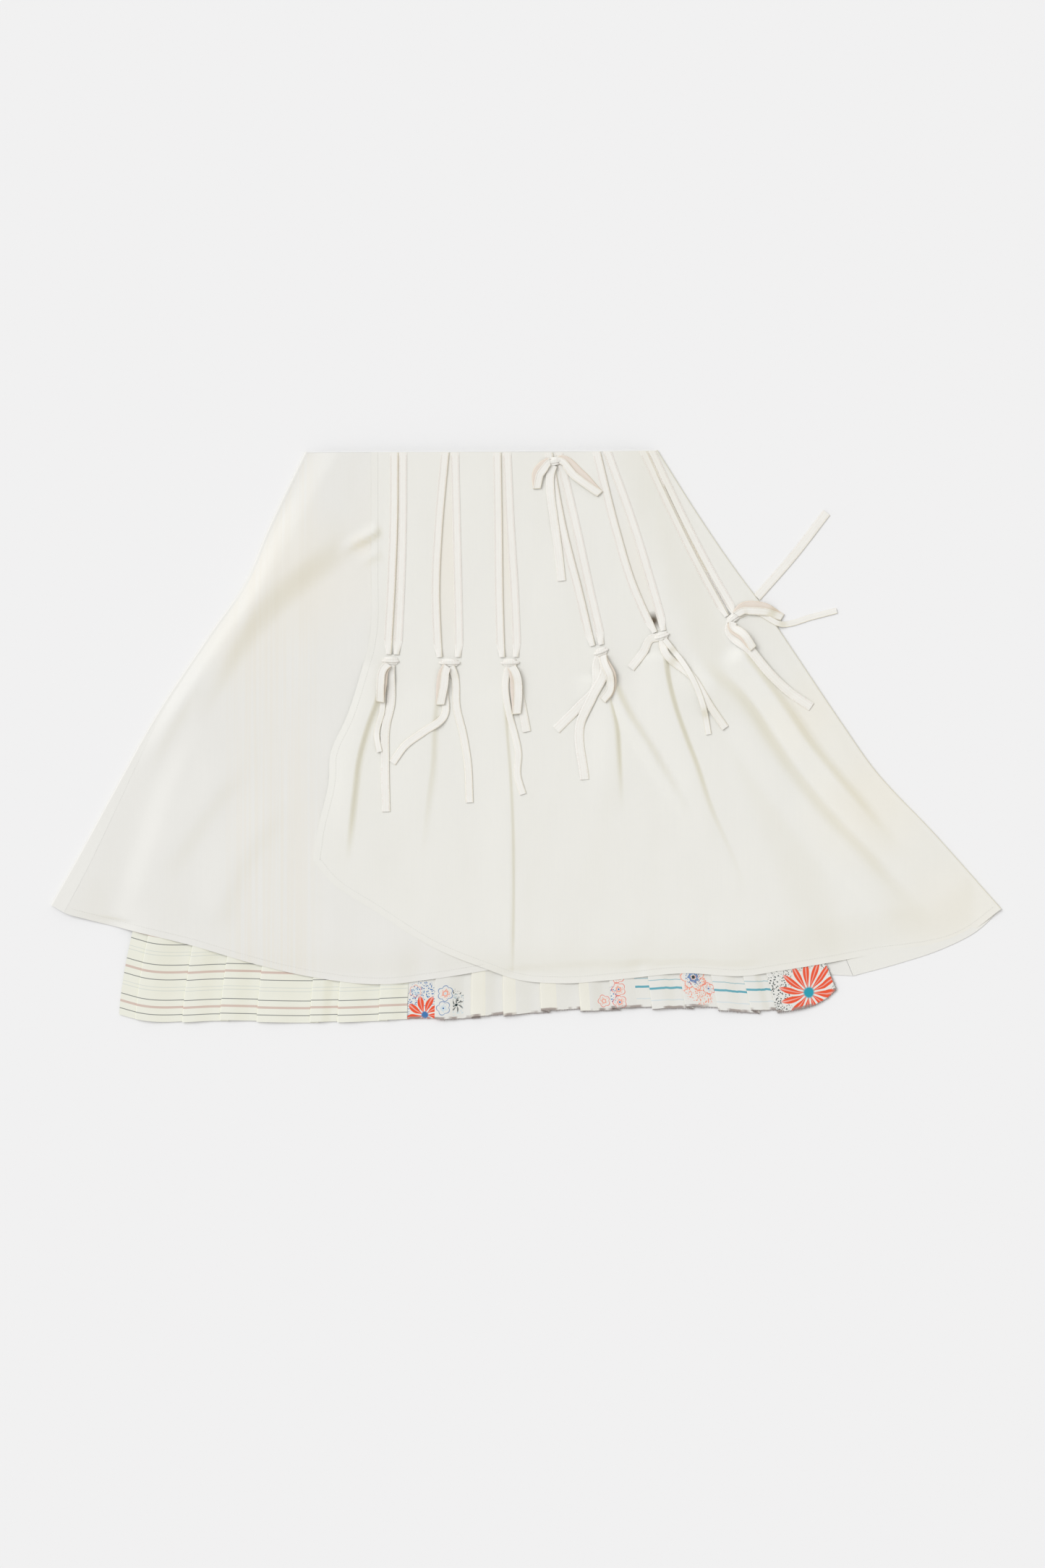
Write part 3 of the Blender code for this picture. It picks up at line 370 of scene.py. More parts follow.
def along(line, shares):
    """Points of a line at the given shares of its length."""
    lengths = line_length(line)
    wanted = np.asarray(shares, float) * lengths[-1]
    return np.stack([np.interp(wanted, lengths, line[:, k]) for k in range(line.shape[1])], axis=-1)


def share_near(line, point):
    """Share of the line's length at its point nearest to the given one."""
    lengths = line_length(line)
    nearest = np.argmin(np.linalg.norm(line - np.array(point, float), axis=1))
    return lengths[nearest] / lengths[-1]


def directions(line):
    """Unit tangents of a line and the directions square to them in the plane."""
    tangent = np.gradient(line[:, :2], axis=0)
    tangent = tangent / np.maximum(np.linalg.norm(tangent, axis=1, keepdims=True), 1e-9)
    return tangent, np.stack([-tangent[:, 1], tangent[:, 0]], axis=1)


def distance_to(line, points):
    """Distance, signed side (right is positive on a downward line) and share along the line."""
    flat = points.reshape(-1, 2)
    away = np.empty(len(flat))
    side = np.empty(len(flat))
    share = np.empty(len(flat))
    tangent = np.gradient(line, axis=0)
    for start in range(0, len(flat), 4096):
        part = flat[start:start + 4096]
        steps = ((part[:, None, :] - line[None, :, :])**2).sum(axis=2)
        nearest = np.argmin(steps, axis=1)
        offset = part - line[nearest]
        cross = tangent[nearest, 0] * offset[:, 1] - tangent[nearest, 1] * offset[:, 0]
        away[start:start + 4096] = np.sqrt(steps[np.arange(len(part)), nearest])
        side[start:start + 4096] = np.sign(cross)
        share[start:start + 4096] = nearest / (len(line) - 1)
    shape = points.shape[:-1]
    return away.reshape(shape), side.reshape(shape), share.reshape(shape)


def fold_height(points, folds):
    """Height that the folds add at each point."""
    total = np.zeros(points.shape[:-1])
    for fold in folds:
        away, side, share = distance_to(line_through(fold["line"]), points)
        width = np.where(side > 0, fold["right"], fold["left"])
        rise = 0.5 + 0.5 * np.cos(np.pi * np.clip(away / width, 0, 1))
        fade = ease(share / fold["fade_in"])
        if fold["fade_out"] > 0:
            fade = fade * ease((1 - share) / fold["fade_out"])
        total = np.maximum(total, fold["high"] * rise * fade)
    return total


def soft_noise(points, scale_x, scale_y, seed):
    """Slow noise between -1 and 1 at each point, stretched by its two scales in millimetres."""
    flat = points.reshape(-1, 2)
    values = [
        noise.noise(Vector((x / scale_x, y / scale_y, seed * 7.3)))
        for x, y in flat
    ]
    return np.array(values).reshape(points.shape[:-1])


BUILT = []


def wall_faces(rows, columns, cells):
    """Quads of the top of a grid and its rim, with a second layer offset by the point count."""
    number = np.arange(rows * columns).reshape(rows, columns)
    ring = np.stack([number[:-1, :-1], number[1:, :-1], number[1:, 1:], number[:-1, 1:]], axis=-1)
    count = rows * columns
    top = ring[cells]
    bottom = top[:, ::-1] + count
    padded = np.pad(cells, 1)
    missing = (
        ~padded[1:-1, :-2], ~padded[2:, 1:-1], ~padded[1:-1, 2:], ~padded[:-2, 1:-1],
    )
    rims = []
    for side, absent in enumerate(missing):
        edge = ring[cells & absent]
        start, end = edge[:, side], edge[:, (side + 1) % 4]
        rims.append(np.stack([end, start, start + count, end + count], axis=-1))
    return np.concatenate([top, bottom] + rims)


def signed_volume(points, faces):
    """Signed volume of a closed mesh of quads."""
    a, b, c, d = (points[faces[:, k]] for k in range(4))
    return float((np.cross(a, b) * c).sum() + (np.cross(a, c) * d).sum())


def grid_normals(middle, cells):
    """Unit normals of a grid of points."""
    diagonal_a = middle[1:, 1:] - middle[:-1, :-1]
    diagonal_b = middle[:-1, 1:] - middle[1:, :-1]
    face = np.cross(diagonal_b, diagonal_a)
    face = face / np.maximum(np.linalg.norm(face, axis=2, keepdims=True), 1e-9) * cells[:, :, None]
    normal = np.zeros_like(middle)
    normal[:-1, :-1] += face
    normal[:-1, 1:] += face
    normal[1:, :-1] += face
    normal[1:, 1:] += face
    return normal / np.maximum(np.linalg.norm(normal, axis=2, keepdims=True), 1e-9)


def wall(name, middle, coords, thickness, cells=None, slots=None, inner=None):
    """Closed shell about a grid of points, with its cloth coordinates as a UV map, in metres."""
    rows, columns = middle.shape[:2]
    if cells is None:
        cells = np.ones((rows - 1, columns - 1), bool)
    normal = grid_normals(middle, cells)
    half = np.broadcast_to(np.asarray(thickness, float), (rows, columns))[:, :, None] / 2
    points = np.concatenate([
        (middle + normal * half).reshape(-1, 3), (middle - normal * half).reshape(-1, 3),
    ])
    faces = wall_faces(rows, columns, cells)
    if signed_volume(points, faces) < 0:
        faces = faces[:, ::-1]
    used = np.unique(faces)
    renumber = np.zeros(len(points), int)
    renumber[used] = np.arange(len(used))
    faces = renumber[faces]
    points = points[used]
    uv = np.concatenate([coords.reshape(-1, 2)] * 2)[used] * MM
    remember(points, faces)
    piece = new_piece(name, (points - CENTRE) * MM, faces.tolist())
    layer = piece.data.uv_layers.new(name="cloth")
    layer.data.foreach_set("uv", uv[faces.ravel()].ravel())
    # Painted warm shade: how far each point's slope turns away from the sun sets its share of a warm tint
    light = np.array(SUN_FROM) / np.linalg.norm(SUN_FROM)
    upward = normal * np.where(normal[:, :, 2:] < 0, -1.0, 1.0)
    turned = np.clip((light[2] - (upward * light).sum(axis=2)) * PAINTED_SHADE_GAIN, 0, 1)
    # The inner attribute holds the painted shade inside the loops
    for label, values in (("painted_shade", turned), ("inner", inner)):
        if values is not None:
            layer = piece.data.attributes.new(label, "FLOAT", "POINT")
            layer.data.foreach_set("value", np.concatenate([values.ravel()] * 2)[used])
    if slots is not None:
        index = np.concatenate([slots[cells], slots[cells]])
        rim = np.full(len(faces) - len(index), slots[cells][0])
        piece.data.polygons.foreach_set("material_index", np.concatenate([index, rim]))
    return piece


def remember(points, faces):
    """Keep a surface so that what is laid on it later can find its height."""
    tree = BVHTree.FromPolygons([Vector(point) for point in points], [tuple(face) for face in faces])
    BUILT.append((tree, points[:, :2].min(axis=0), points[:, :2].max(axis=0)))


def new_piece(name, points, faces):
    """Smooth-shaded mesh object at the origin."""
    mesh = bpy.data.meshes.new(name)
    mesh.from_pydata([tuple(point) for point in points], [], faces)
    mesh.validate()
    mesh.shade_smooth()
    mesh.set_sharp_from_angle(angle=math.radians(SHARP_ANGLE))
    piece = bpy.data.objects.new(name, mesh)
    bpy.context.scene.collection.objects.link(piece)
    return piece


def height_below(x, y):
    """Top of everything laid so far at one place; the floor counts as 0."""
    top = 0.0
    for tree, low, high in BUILT:
        if x < low[0] or x > high[0] or y < low[1] or y > high[1]:
            continue
        hit = tree.ray_cast(Vector((x, y, RAY_HEIGHT)), Vector((0, 0, -1)))
        if hit[0] is not None:
            top = max(top, hit[0].z)
    return top


def dress(piece, node, material):
    """Material and body of a piece, with the imported part it stands for hidden."""
    if not piece.data.materials:
        piece.data.materials.append(material)
    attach(piece, "root")
    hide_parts(node)
    return piece


def ripple(points, clear=1.0):
    """Slow unevenness of laid cloth, the same through all its layers."""
    slow = 0.5 + 0.5 * soft_noise(points, 46.0, 120.0, SEED)
    fine = 0.5 + 0.5 * soft_noise(points, 16.0, 34.0, SEED + 1)
    return (size("ripple") * slow + 0.35 * fine) * clear


def panel_height(points, side, inner_z):
    """Height of a front panel: low by the side fold, up where it lies on the underskirt."""
    share = (UNDERSKIRT_WAIST_Y - points[..., 1]) / (UNDERSKIRT_WAIST_Y - UNDERSKIRT_HEM[-1][1])
    edge = fan(UNDERSKIRT_HEM_ENDS[side], share)
    inside = (edge - points[..., 0]) * (1 if side == 1 else -1) + RISE_REACH[side]
    return SIDE_TOP_Z + (inner_z - SIDE_TOP_Z) * ease(inside / RISE_LENGTH[side])


def hem_shares(count, length):
    """Shares from one end of a panel to its hem, with rows at the edges of the turned hem."""
    wide = size("hem_width")
    body = np.linspace(0, 1 - (wide + 2.5) / length, count)
    turned = [1 - (wide + 0.8) / length, 1 - wide / length, 1 - 0.5 * wide / length]
    return np.concatenate([body, turned, [1 - 0.8 / length, 1.0]])


def rest_hem(grid, kept, reach=REST_REACH):
    """Let the last rows come down on what is laid below, less where a column's height is kept."""
    down = np.linalg.norm(grid[-1:, :, :2] - grid[:, :, :2], axis=2)
    for row in np.nonzero((down < reach).any(axis=1))[0]:
        places = grid[row]
        floor = np.array([height_below(x, y) for x, y, _ in places])
        floor = smooth_up(floor, 2) + size("cloth_wall") / 2 + REST_GAP
        share = np.maximum(ease(down[row] / reach), kept)
        grid[row, :, 2] = np.minimum(places[:, 2], floor + (places[:, 2] - floor) * share)
    return grid


def side_fold(outline, steps=SIDE_STEPS):
    """Points of the round fold along an outline: (xy, z) columns from the top to the floor."""
    outward = directions(outline)[1]
    if outward[0, 0] * outline[0, 0] < 0:
        outward = -outward
    columns = []
    for step in range(steps + 1):
        angle = math.pi / 2 - math.pi * step / steps
        place = outline + outward * SIDE_RADIUS * (math.cos(angle) - 1.0)
        height = BACK_Z + SIDE_RADIUS + SIDE_RADIUS * math.sin(angle)
        columns.append((place, np.full(len(outline), height)))
    return columns


def over_panel_grid():
    """Grid, cloth coordinates, cells and hem thickness of the over panel."""
    slit_shares = np.linspace(0, 1, SLIT_ROWS + 1)
    skirt_shares = hem_shares(SKIRT_ROWS, OVER_LENGTH)[1:]
    hem = line_through(OVER_HEM)
    right = np.concatenate([
        along(line_through(RIGHT_OUTLINE_ABOVE), slit_shares),
        along(line_through(RIGHT_OUTLINE_BELOW), skirt_shares),
    ])
    fold = side_fold(right)
    guides = [(np.concatenate([
        along(line_through(OVER_EDGE_ABOVE), slit_shares),
        along(line_through(OVER_EDGE_BELOW), skirt_shares),
    ]), 0.0)]
    for slit in SLITS:
        left, right_edge = (along(line_through(slit[side]), slit_shares) for side in ("left", "right"))
        foot_width = right_edge[-1, 0] - left[-1, 0]
        foot = tuple((left[-1] + right_edge[-1]) / 2)
        hem_share = share_near(hem, slit["crease"][-1])
        below = (foot,) + slit["crease"][:-1] + (tuple(along(hem, [hem_share])[0]),)
        lower = along(line_through(below), skirt_shares)
        width = CREASE_WIDTH + (foot_width - CREASE_WIDTH) * (1 - ease(skirt_shares / CREASE_START))
        half = np.stack([width / 2, np.zeros(len(width))], axis=1)
        guides.append((np.concatenate([left, lower - half]), hem_share))
        guides.append((np.concatenate([right_edge, lower + half]), hem_share))
    guides.append((fold[0][0], 1.0))
    skirt_part = np.concatenate([np.zeros(SLIT_ROWS + 1), skirt_shares])
    columns = []
    slit_columns = []
    for pair in range(0, len(guides), 2):
        (start, start_share), (end, end_share) = guides[pair], guides[pair + 1]
        steps = OVER_STEPS[pair // 2]
        for step in range(steps + 1):
            mix = step / steps - COLUMN_DRAW * math.sin(2 * math.pi * step / steps)
            place = start * (1 - mix) + end * mix
            target = along(hem, [start_share + (end_share - start_share) * mix])[0]
            miss = (target - place[-1]) * (0 if step in (0, steps) else 1)
            columns.append(place + miss * (skirt_part**2)[:, None])
        slit_columns.append(len(columns) - 1)
    slit_columns.pop()
    top = np.stack(columns, axis=1)
    outline = np.concatenate([line_through(RIGHT_OUTLINE_ABOVE), line_through(RIGHT_OUTLINE_BELOW)])
    away = distance_to(outline, top)[0]
    clear = ease((away - SIDE_RADIUS) / SIDE_CLEAR)
    height = panel_height(top, 1, OVER_PANEL_Z) + fold_height(top, OVER_FOLDS) * clear
    lap_edge = top[:, :1]
    inside = np.linalg.norm(top - lap_edge, axis=2)
    height += ripple(top, clear) + fold_height(top, UNDER_TUCKS) * (1 - ease(inside / TUCK_REACH))
    height[:, -1] = SIDE_TOP_Z
    grid = [np.concatenate([top, height[:, :, None]], axis=2)]
    coords = [top]
    for place, level in fold[1:]:
        grid.append(np.concatenate([place, level[:, None]], axis=1)[:, None, :])
    seam = np.concatenate([
        along(line_through((BACK_SEAM_WAIST, BACK_SEAM_FOOT)), slit_shares),
        along(line_through((BACK_SEAM_FOOT, BACK_SEAM_HEM)), skirt_shares),
    ])
    under_hem = line_through(BACK_HEM_RIGHT)
    edge = fold[-1][0]
    for mix in np.linspace(0, 1, FOLDED_COLUMNS + 1)[1:]:
        place = edge * (1 - mix) + seam * mix
        miss = along(under_hem, [mix])[0] - place[-1]
        place = place + miss * (skirt_part**2)[:, None]
        flat = np.full((len(place), 1), BACK_Z)
        grid.append(np.concatenate([place, flat], axis=1)[:, None, :])
    grid[0] = rest_hem(grid[0], ease((np.arange(top.shape[1]) - top.shape[1] + 13) / 12))
    grid = np.concatenate(grid, axis=1)
    turned = grid[:, top.shape[1] - 1:]
    beyond = np.cumsum(np.linalg.norm(np.diff(turned, axis=1), axis=2), axis=1)
    far = top[:, -1:, 0] + beyond
    coords.append(np.stack([far, turned[:, 1:, 1]], axis=2))
    coords = np.concatenate(coords, axis=1)
    cells = np.ones((grid.shape[0] - 1, grid.shape[1] - 1), bool)
    for column in slit_columns:
        cells[:SLIT_ROWS, column] = False
    length_down = np.linalg.norm(grid[-1:, :, :2] - grid[:, :, :2], axis=2)
    wide = size("hem_width") + HEM_SPARE
    at_hem = length_down < wide
    at_edge = np.linalg.norm(grid[:, :1, :2] - grid[:, :, :2], axis=2) < wide
    band = at_hem | (at_edge & (np.arange(grid.shape[1])[None, :] < OVER_STEPS[0]))
    return grid, coords, cells, size("cloth_wall") + size("hem_rise") * band


def left_rows(shares):
    """Rows down the left side: outline points and width of the back panel's strip."""
    outline = along(line_through(LEFT_OUTLINE), shares)
    below = ease((SIDE_SEAM_START_Y - outline[:, 1]) / SIDE_SEAM_LENGTH)
    return outline, SIDE_SEAM_MIN + (SIDE_SEAM_AT_HEM - SIDE_SEAM_MIN) * below


def under_surface(points):
    """Height of the under panel and of the strip beside it."""
    away = distance_to(line_through(LEFT_OUTLINE), points)[0]
    clear = ease((away - SIDE_RADIUS) / SIDE_CLEAR)
    edge = np.concatenate([line_through(OVER_EDGE_ABOVE), line_through(OVER_EDGE_BELOW)])
    edge_x = np.interp(points[..., 1], edge[::-1, 1], edge[::-1, 0])
    open_part = ease((edge_x - LAP_CLEAR - points[..., 0]) / LAP_RISE)
    height = panel_height(points, 0, UNDER_PANEL_Z) + fold_height(points, UNDER_TUCKS)
    return height + fold_height(points, UNDER_FOLDS) * open_part * clear + ripple(points, clear)


def back_panel_grid():
    """Grid and cloth coordinates of the back panel, from the left front seam round to the back seam."""
    shares = hem_shares(SIDE_ROWS, PANEL_LENGTH)
    outline, strip = left_rows(shares)
    fold = side_fold(outline)
    seam = along(np.array([BACK_SEAM_WAIST, BACK_SEAM_FOOT, BACK_SEAM_HEM], float), shares)
    seam = seam - np.array([GAP, 0.0])
    hem = line_through(BACK_HEM)
    grid = []
    edge = fold[-1][0]
    for mix in np.linspace(0, 1, BACK_COLUMNS + 1):
        place = seam * (1 - mix) + edge * mix
        miss = along(hem, [mix])[0] - place[-1]
        if mix in (0.0, 1.0):
            miss = miss * 0
        place = place + miss * (shares**2)[:, None]
        grid.append(np.concatenate([place, np.full((len(shares), 1), BACK_Z)], axis=1))
    for place, level in fold[-2::-1]:
        grid.append(np.concatenate([place, level[:, None]], axis=1))
    inward = directions(outline)[1]
    for share in STRIP_SHARES:
        place = outline + inward * (SIDE_RADIUS + (strip - SIDE_RADIUS) * share)[:, None]
        grid.append(np.concatenate([place, under_surface(place)[:, None]], axis=1))
    grid = np.stack(grid, axis=1)[:, ::-1]
    across = np.concatenate([
        np.zeros((len(shares), 1)), np.cumsum(np.linalg.norm(np.diff(grid, axis=1), axis=2), axis=1),
    ], axis=1)
    return grid, np.stack([across, grid[:, :, 1]], axis=2)


def under_panel_grid():
    """Grid of the front under panel."""
    shares = hem_shares(SIDE_ROWS, PANEL_LENGTH)
    outline, strip = left_rows(shares)
    inward = directions(outline)[1]
    start = outline + inward * (strip + SEAM_GAP)[:, None]
    end = along(line_through(UNDER_HIDDEN_EDGE), shares)
    hem = line_through(UNDER_HEM)
    grid = []
    for mix in np.linspace(0, 1, UNDER_COLUMNS + 1):
        place = start * (1 - mix) + end * mix
        miss = along(hem, [mix])[0] - place[-1]
        if mix == 0.0:
            miss = miss * 0
        place = place + miss * (shares**2)[:, None]
        grid.append(np.concatenate([place, under_surface(place)[:, None]], axis=1))
    return rest_hem(np.stack(grid, axis=1), 1 - ease(np.arange(UNDER_COLUMNS + 1) / 10))


def hem_band(grid):
    """Cloth thickness, with the turned hem along the last rows."""
    down = np.linalg.norm(grid[-1:, :, :2] - grid[:, :, :2], axis=2)
    return size("cloth_wall") + size("hem_rise") * (down < size("hem_width") + HEM_SPARE)


def drape(y):
    """Drop of the underskirt past the outer hem."""
    return -LAYER * ease((DRAPE_START_Y - y) / DRAPE_LENGTH)


def fan(hem_x, share):
    """x of a pleat line at a share of the way from waist to hem."""
    place = (hem_x - UNDERSKIRT_HEM_ENDS[0]) / (UNDERSKIRT_HEM_ENDS[1] - UNDERSKIRT_HEM_ENDS[0])
    waist_x = UNDERSKIRT_WAIST[0] + (UNDERSKIRT_WAIST[1] - UNDERSKIRT_WAIST[0]) * place
    bend = 1.0 + UNDERSKIRT_FLARE * (1.0 - place)
    return waist_x + (hem_x - waist_x) * (1.0 - (1.0 - np.minimum(share, 1.0)) ** bend)


def pleat_row(start, end, pleats, share):
    """One row across a pleated piece: x, height, hem drop and number of the face."""
    narrow = fan(1.0, share) - fan(0.0, share)
    depth = PLEAT_DEPTH * narrow
    radius = LAYER / 2
    arc = np.radians(np.linspace(-90, 90, 9))
    row = [(fan(start, share), 0.0, 0.0, 0)]
    drop_before = 0.0
    top_end = fan(start, share)
    level = 0.0
    for number, (hem_x, drop) in enumerate(pleats, start=1):
        line = fan(hem_x, share)
        ramp_end = max(line - PLEAT_RAMP * narrow, top_end + GAP)
        for mix in np.linspace(0, 1, 9)[1:]:
            x = top_end + (ramp_end - top_end) * mix
            row.append((x, level * (1 - ease(mix)), drop_before, number - 1))
        inner = line + depth - radius
        row.append(((ramp_end + inner) / 2, 0.0, drop_before, number - 1))
        for turn in arc:
            place = (inner + radius * math.cos(turn), radius + radius * math.sin(turn))
            row.append((*place, drop_before, number - 1))
        outer = line + radius
        for turn in arc:
            place = (outer - radius * math.cos(turn), LAYER + radius + radius * math.sin(turn))
            row.append((*place, drop, number))
        top_end = line + depth + PLEAT_TOP_REACH
        level = 2 * LAYER
        row.append(((outer + top_end) / 2, level, drop, number))
        row.append((top_end, level, drop, number))
        drop_before = drop
    for mix in np.linspace(0, 1, 13)[1:]:
        x = top_end + (fan(end, share) - top_end) * mix
        row.append((x, level * (1 - ease(mix)), drop_before, len(pleats)))
    return row


def pleated_grid(start, end, pleats, raw_edge):
    """Grid, cloth coordinates and face numbers of a pleated piece."""
    hem = line_through(UNDERSKIRT_HEM)
    low_shares = hem_shares(PLEAT_ROWS, PLEAT_LENGTH)[1:] * 0.22 + 0.78
    shares = np.concatenate([[0, 0.2, 0.4, 0.6, 0.72], low_shares])
    bottom = pleat_row(start, end, pleats, 1.0)
    hem_x = np.array([point[0] for point in bottom])
    rise = np.array([point[1] for point in bottom])
    drops = np.array([point[2] for point in bottom])
    face = np.array([point[3] for point in bottom])
    unfolded = np.concatenate([[0], np.cumsum(np.hypot(np.diff(hem_x), np.diff(rise)))])
    hem_y = np.interp(hem_x, hem[:, 0], hem[:, 1]) + drops
    if raw_edge:
        wobble = [noise.noise(Vector((x / 3.0, 0.4, 2.0))) for x in unfolded]
        hem_y = hem_y + 0.8 * np.array(wobble)
    lift = np.array([0.5 + 0.5 * noise.noise(Vector((x / 30.0, 5.0, 2.0))) for x in unfolded])
    grid = []
    coords = []
    for share in shares:
        row = pleat_row(start, end, pleats, share)
        x = np.array([point[0] for point in row])
        height = np.array([point[1] for point in row])
        y = UNDERSKIRT_WAIST_Y + (hem_y - UNDERSKIRT_WAIST_Y) * share
        curl = 0.5 * lift * ease((share - 0.93) / 0.07)
        flat = 1.0 - (1.0 - SQUEEZE) * ease((DRAPE_START_Y + 40.0 - y) / 40.0)
        low = (PLEAT_LOW_Z + drape(y) - BACK_Z) * flat + BACK_Z
        grid.append(np.stack([x, y, low + height * flat + curl], axis=1))
        up = (1 - share) * (UNDERSKIRT_WAIST_Y - hem_y)
        coords.append(np.stack([unfolded, up], axis=1))
    return np.array(grid), np.array(coords), face, unfolded


def underskirt_back_grid():
    """Plain back of the underskirt."""
    hem = line_through(UNDERSKIRT_HEM)
    start, end = UNDERSKIRT_HEM_ENDS
    grid = []
    for share in np.concatenate([[0, 0.3, 0.6], np.linspace(0.8, 1.0, 20)]):
        line = []
        for hem_x in np.linspace(start + BACK_INSET, end - BACK_INSET, UNDERSKIRT_BACK_COLUMNS):
            hem_y = np.interp(hem_x, hem[:, 0], hem[:, 1]) + HEM_INSET
            y = UNDERSKIRT_WAIST_Y + (hem_y - UNDERSKIRT_WAIST_Y) * share
            line.append((fan(hem_x, share), y, UNDERSKIRT_BACK_Z + drape(y)))
        grid.append(line)
    return np.array(grid)


def tape_section(visible):
    """Offsets and heights across a tape whose spare width is turned under at its edges."""
    half = size("tape_width") / 2
    top = visible / 2 - EDGE_RADIUS
    offsets = []
    heights = []
    for place in np.linspace(-half, half, ACROSS):
        beyond = max(0.0, abs(place) - top)
        angle = min(beyond / EDGE_RADIUS, math.pi)
        under = max(0.0, beyond - math.pi * EDGE_RADIUS)
        out = min(abs(place), top) + EDGE_RADIUS * math.sin(angle) - under
        offsets.append(math.copysign(out, place))
        heights.append(EDGE_RADIUS * (1 + math.cos(angle)))
    heights = np.array(heights)
    return np.array(offsets), heights - heights.min()


def smooth_up(values, reach):
    """Smooth curve that stays on or above the given heights."""
    count = len(values)
    wide = np.array([values[max(0, i - reach):i + reach + 1].max() for i in range(count)])
    kernel = np.hanning(2 * reach + 3)[1:-1]
    kernel = kernel / kernel.sum()
    padded = np.pad(wide, reach, mode="edge")
    return np.maximum(np.convolve(padded, kernel, mode="valid"), values)


def rest_heights(places, profile):
    """Base height of each station so that every point across it clears what lies below."""
    base = np.empty(len(places))
    for row, across in enumerate(places):
        floor = [height_below(x, y) for x, y in across]
        base[row] = max(h - p for h, p in zip(floor, profile))
    return base


def ribbon_coords(grid):
    """Cloth coordinates of a tape: across it and along it."""
    steps = np.linalg.norm(np.diff(grid.mean(axis=1), axis=0), axis=1)
    down = np.concatenate([[0], np.cumsum(steps)])
    across = np.linspace(-size("tape_width") / 2, size("tape_width") / 2, grid.shape[1])
    return np.stack(np.broadcast_arrays(across[None, :], down[:, None]), axis=2)


def tape_thickness(rows):
    """A tape is a little thicker along its two woven edges and thin at the very rim."""
    profile = np.full(ACROSS, size("tape_wall"))
    profile[[0, -1]] = size("tape_wall") * 0.6
    profile[[1, -2]] = size("tape_wall") * 1.15
    return np.broadcast_to(profile, (rows, ACROSS))


def tail_grid(route, visible, seed, on_floor=False):
    """Loose tape end that lies on what is below it."""
    line = line_through(route)
    count = int(line_length(line)[-1] / RIBBON_STEP) + 2
    shares = np.linspace(0, 1, count)
    centre = along(line, shares)
    sideways = directions(centre)[1]
    sway = np.array([noise.noise(Vector((s * 3.0, seed, 0.0))) for s in shares])
    offsets, profile = tape_section(visible)
    lean = np.radians(TAIL_LEAN * sway)
    places = []
    heights = []
    for turn, point, side in zip(lean, centre, sideways):
        x = offsets * math.cos(turn) - profile * math.sin(turn)
        z = offsets * math.sin(turn) + profile * math.cos(turn)
        places.append(point + side * x[:, None])
        heights.append(z - z.min())
    places = np.array(places)
    heights = np.array(heights)
    if on_floor:
        base = np.zeros(count)
    else:
        base = np.array([
            max(height_below(x, y) - h for (x, y), h in zip(row, level))
            for row, level in zip(places, heights)
        ])
        base = smooth_up(base, 3)
    level = base[:, None] + heights + REST_GAP + size("tape_wall") / 2
    return np.concatenate([places, level[:, :, None]], axis=2)


def from_knot(route):
    """Route that begins at the edge of the nearest knot."""
    first = np.array(route[0], float)
    centres = np.array([centre for _, centre, _, _ in KNOTS], float)
    nearest = centres[np.argmin(np.linalg.norm(centres - first, axis=1))]
    away = first - nearest
    return (tuple(nearest + away * KNOT_CLEAR / np.linalg.norm(away)), *route)


def loop_grid(route, visible, shift):
    """Tape that runs out, turns over and comes back above itself."""
    line = line_through(route)
    count = int(line_length(line)[-1] / RIBBON_STEP) + 2
    centre = along(line, np.linspace(0, 1, count))
    tangent, sideways = directions(centre)
    offsets, profile = tape_section(visible)
    low_places = centre[:, None, :] + sideways[:, None, :] * offsets[None, :, None]
    base = smooth_up(rest_heights(low_places, profile), 3) + REST_GAP + size("tape_wall") / 2
    radius = LOOP_RADIUS
    rows = []
    for index in range(count):
        level = base[index] + profile
        rows.append(np.concatenate([low_places[index], level[:, None]], axis=1))
    for degrees in np.linspace(-75, 75, 11):
        angle = math.radians(degrees)
        point = centre[-1] + tangent[-1] * radius * math.cos(angle)
        place = point + sideways[-1] * offsets[:, None]
        turned = -math.sin(angle) * (1.0 if angle < 0 else 0.4)
        arch = profile * turned + profile.max() * 0.5 * (1 + math.sin(angle))
        level = base[-1] + radius * (1 + math.sin(angle)) + arch
        rows.append(np.concatenate([place, level[:, None]], axis=1))
    for index in range(count - 1, -1, -1):
        share = index / (count - 1)
        bow = math.sin(math.pi * share**0.8) * shift
        lift = LOOP_LIFT * math.sin(math.pi * share)
        place = centre[index] + sideways[index] * (bow + offsets[:, None])
        top = base[index] + 2 * radius + lift + profile.max() - 0.4 * profile
        rows.append(np.concatenate([place, top[:, None]], axis=1))
    return np.array(rows)


def loop_shade_rows(rows):
    """Painted shade inside a loop: share of the brown tint at each point of its grid, on its lower layer and
    the start of the turn.
    """
    share = ease((rows * 0.5 - np.arange(rows)) / 6.0)
    return np.repeat(share[:, None] * LOOP_SHADE_SHARE, ACROSS, axis=1)


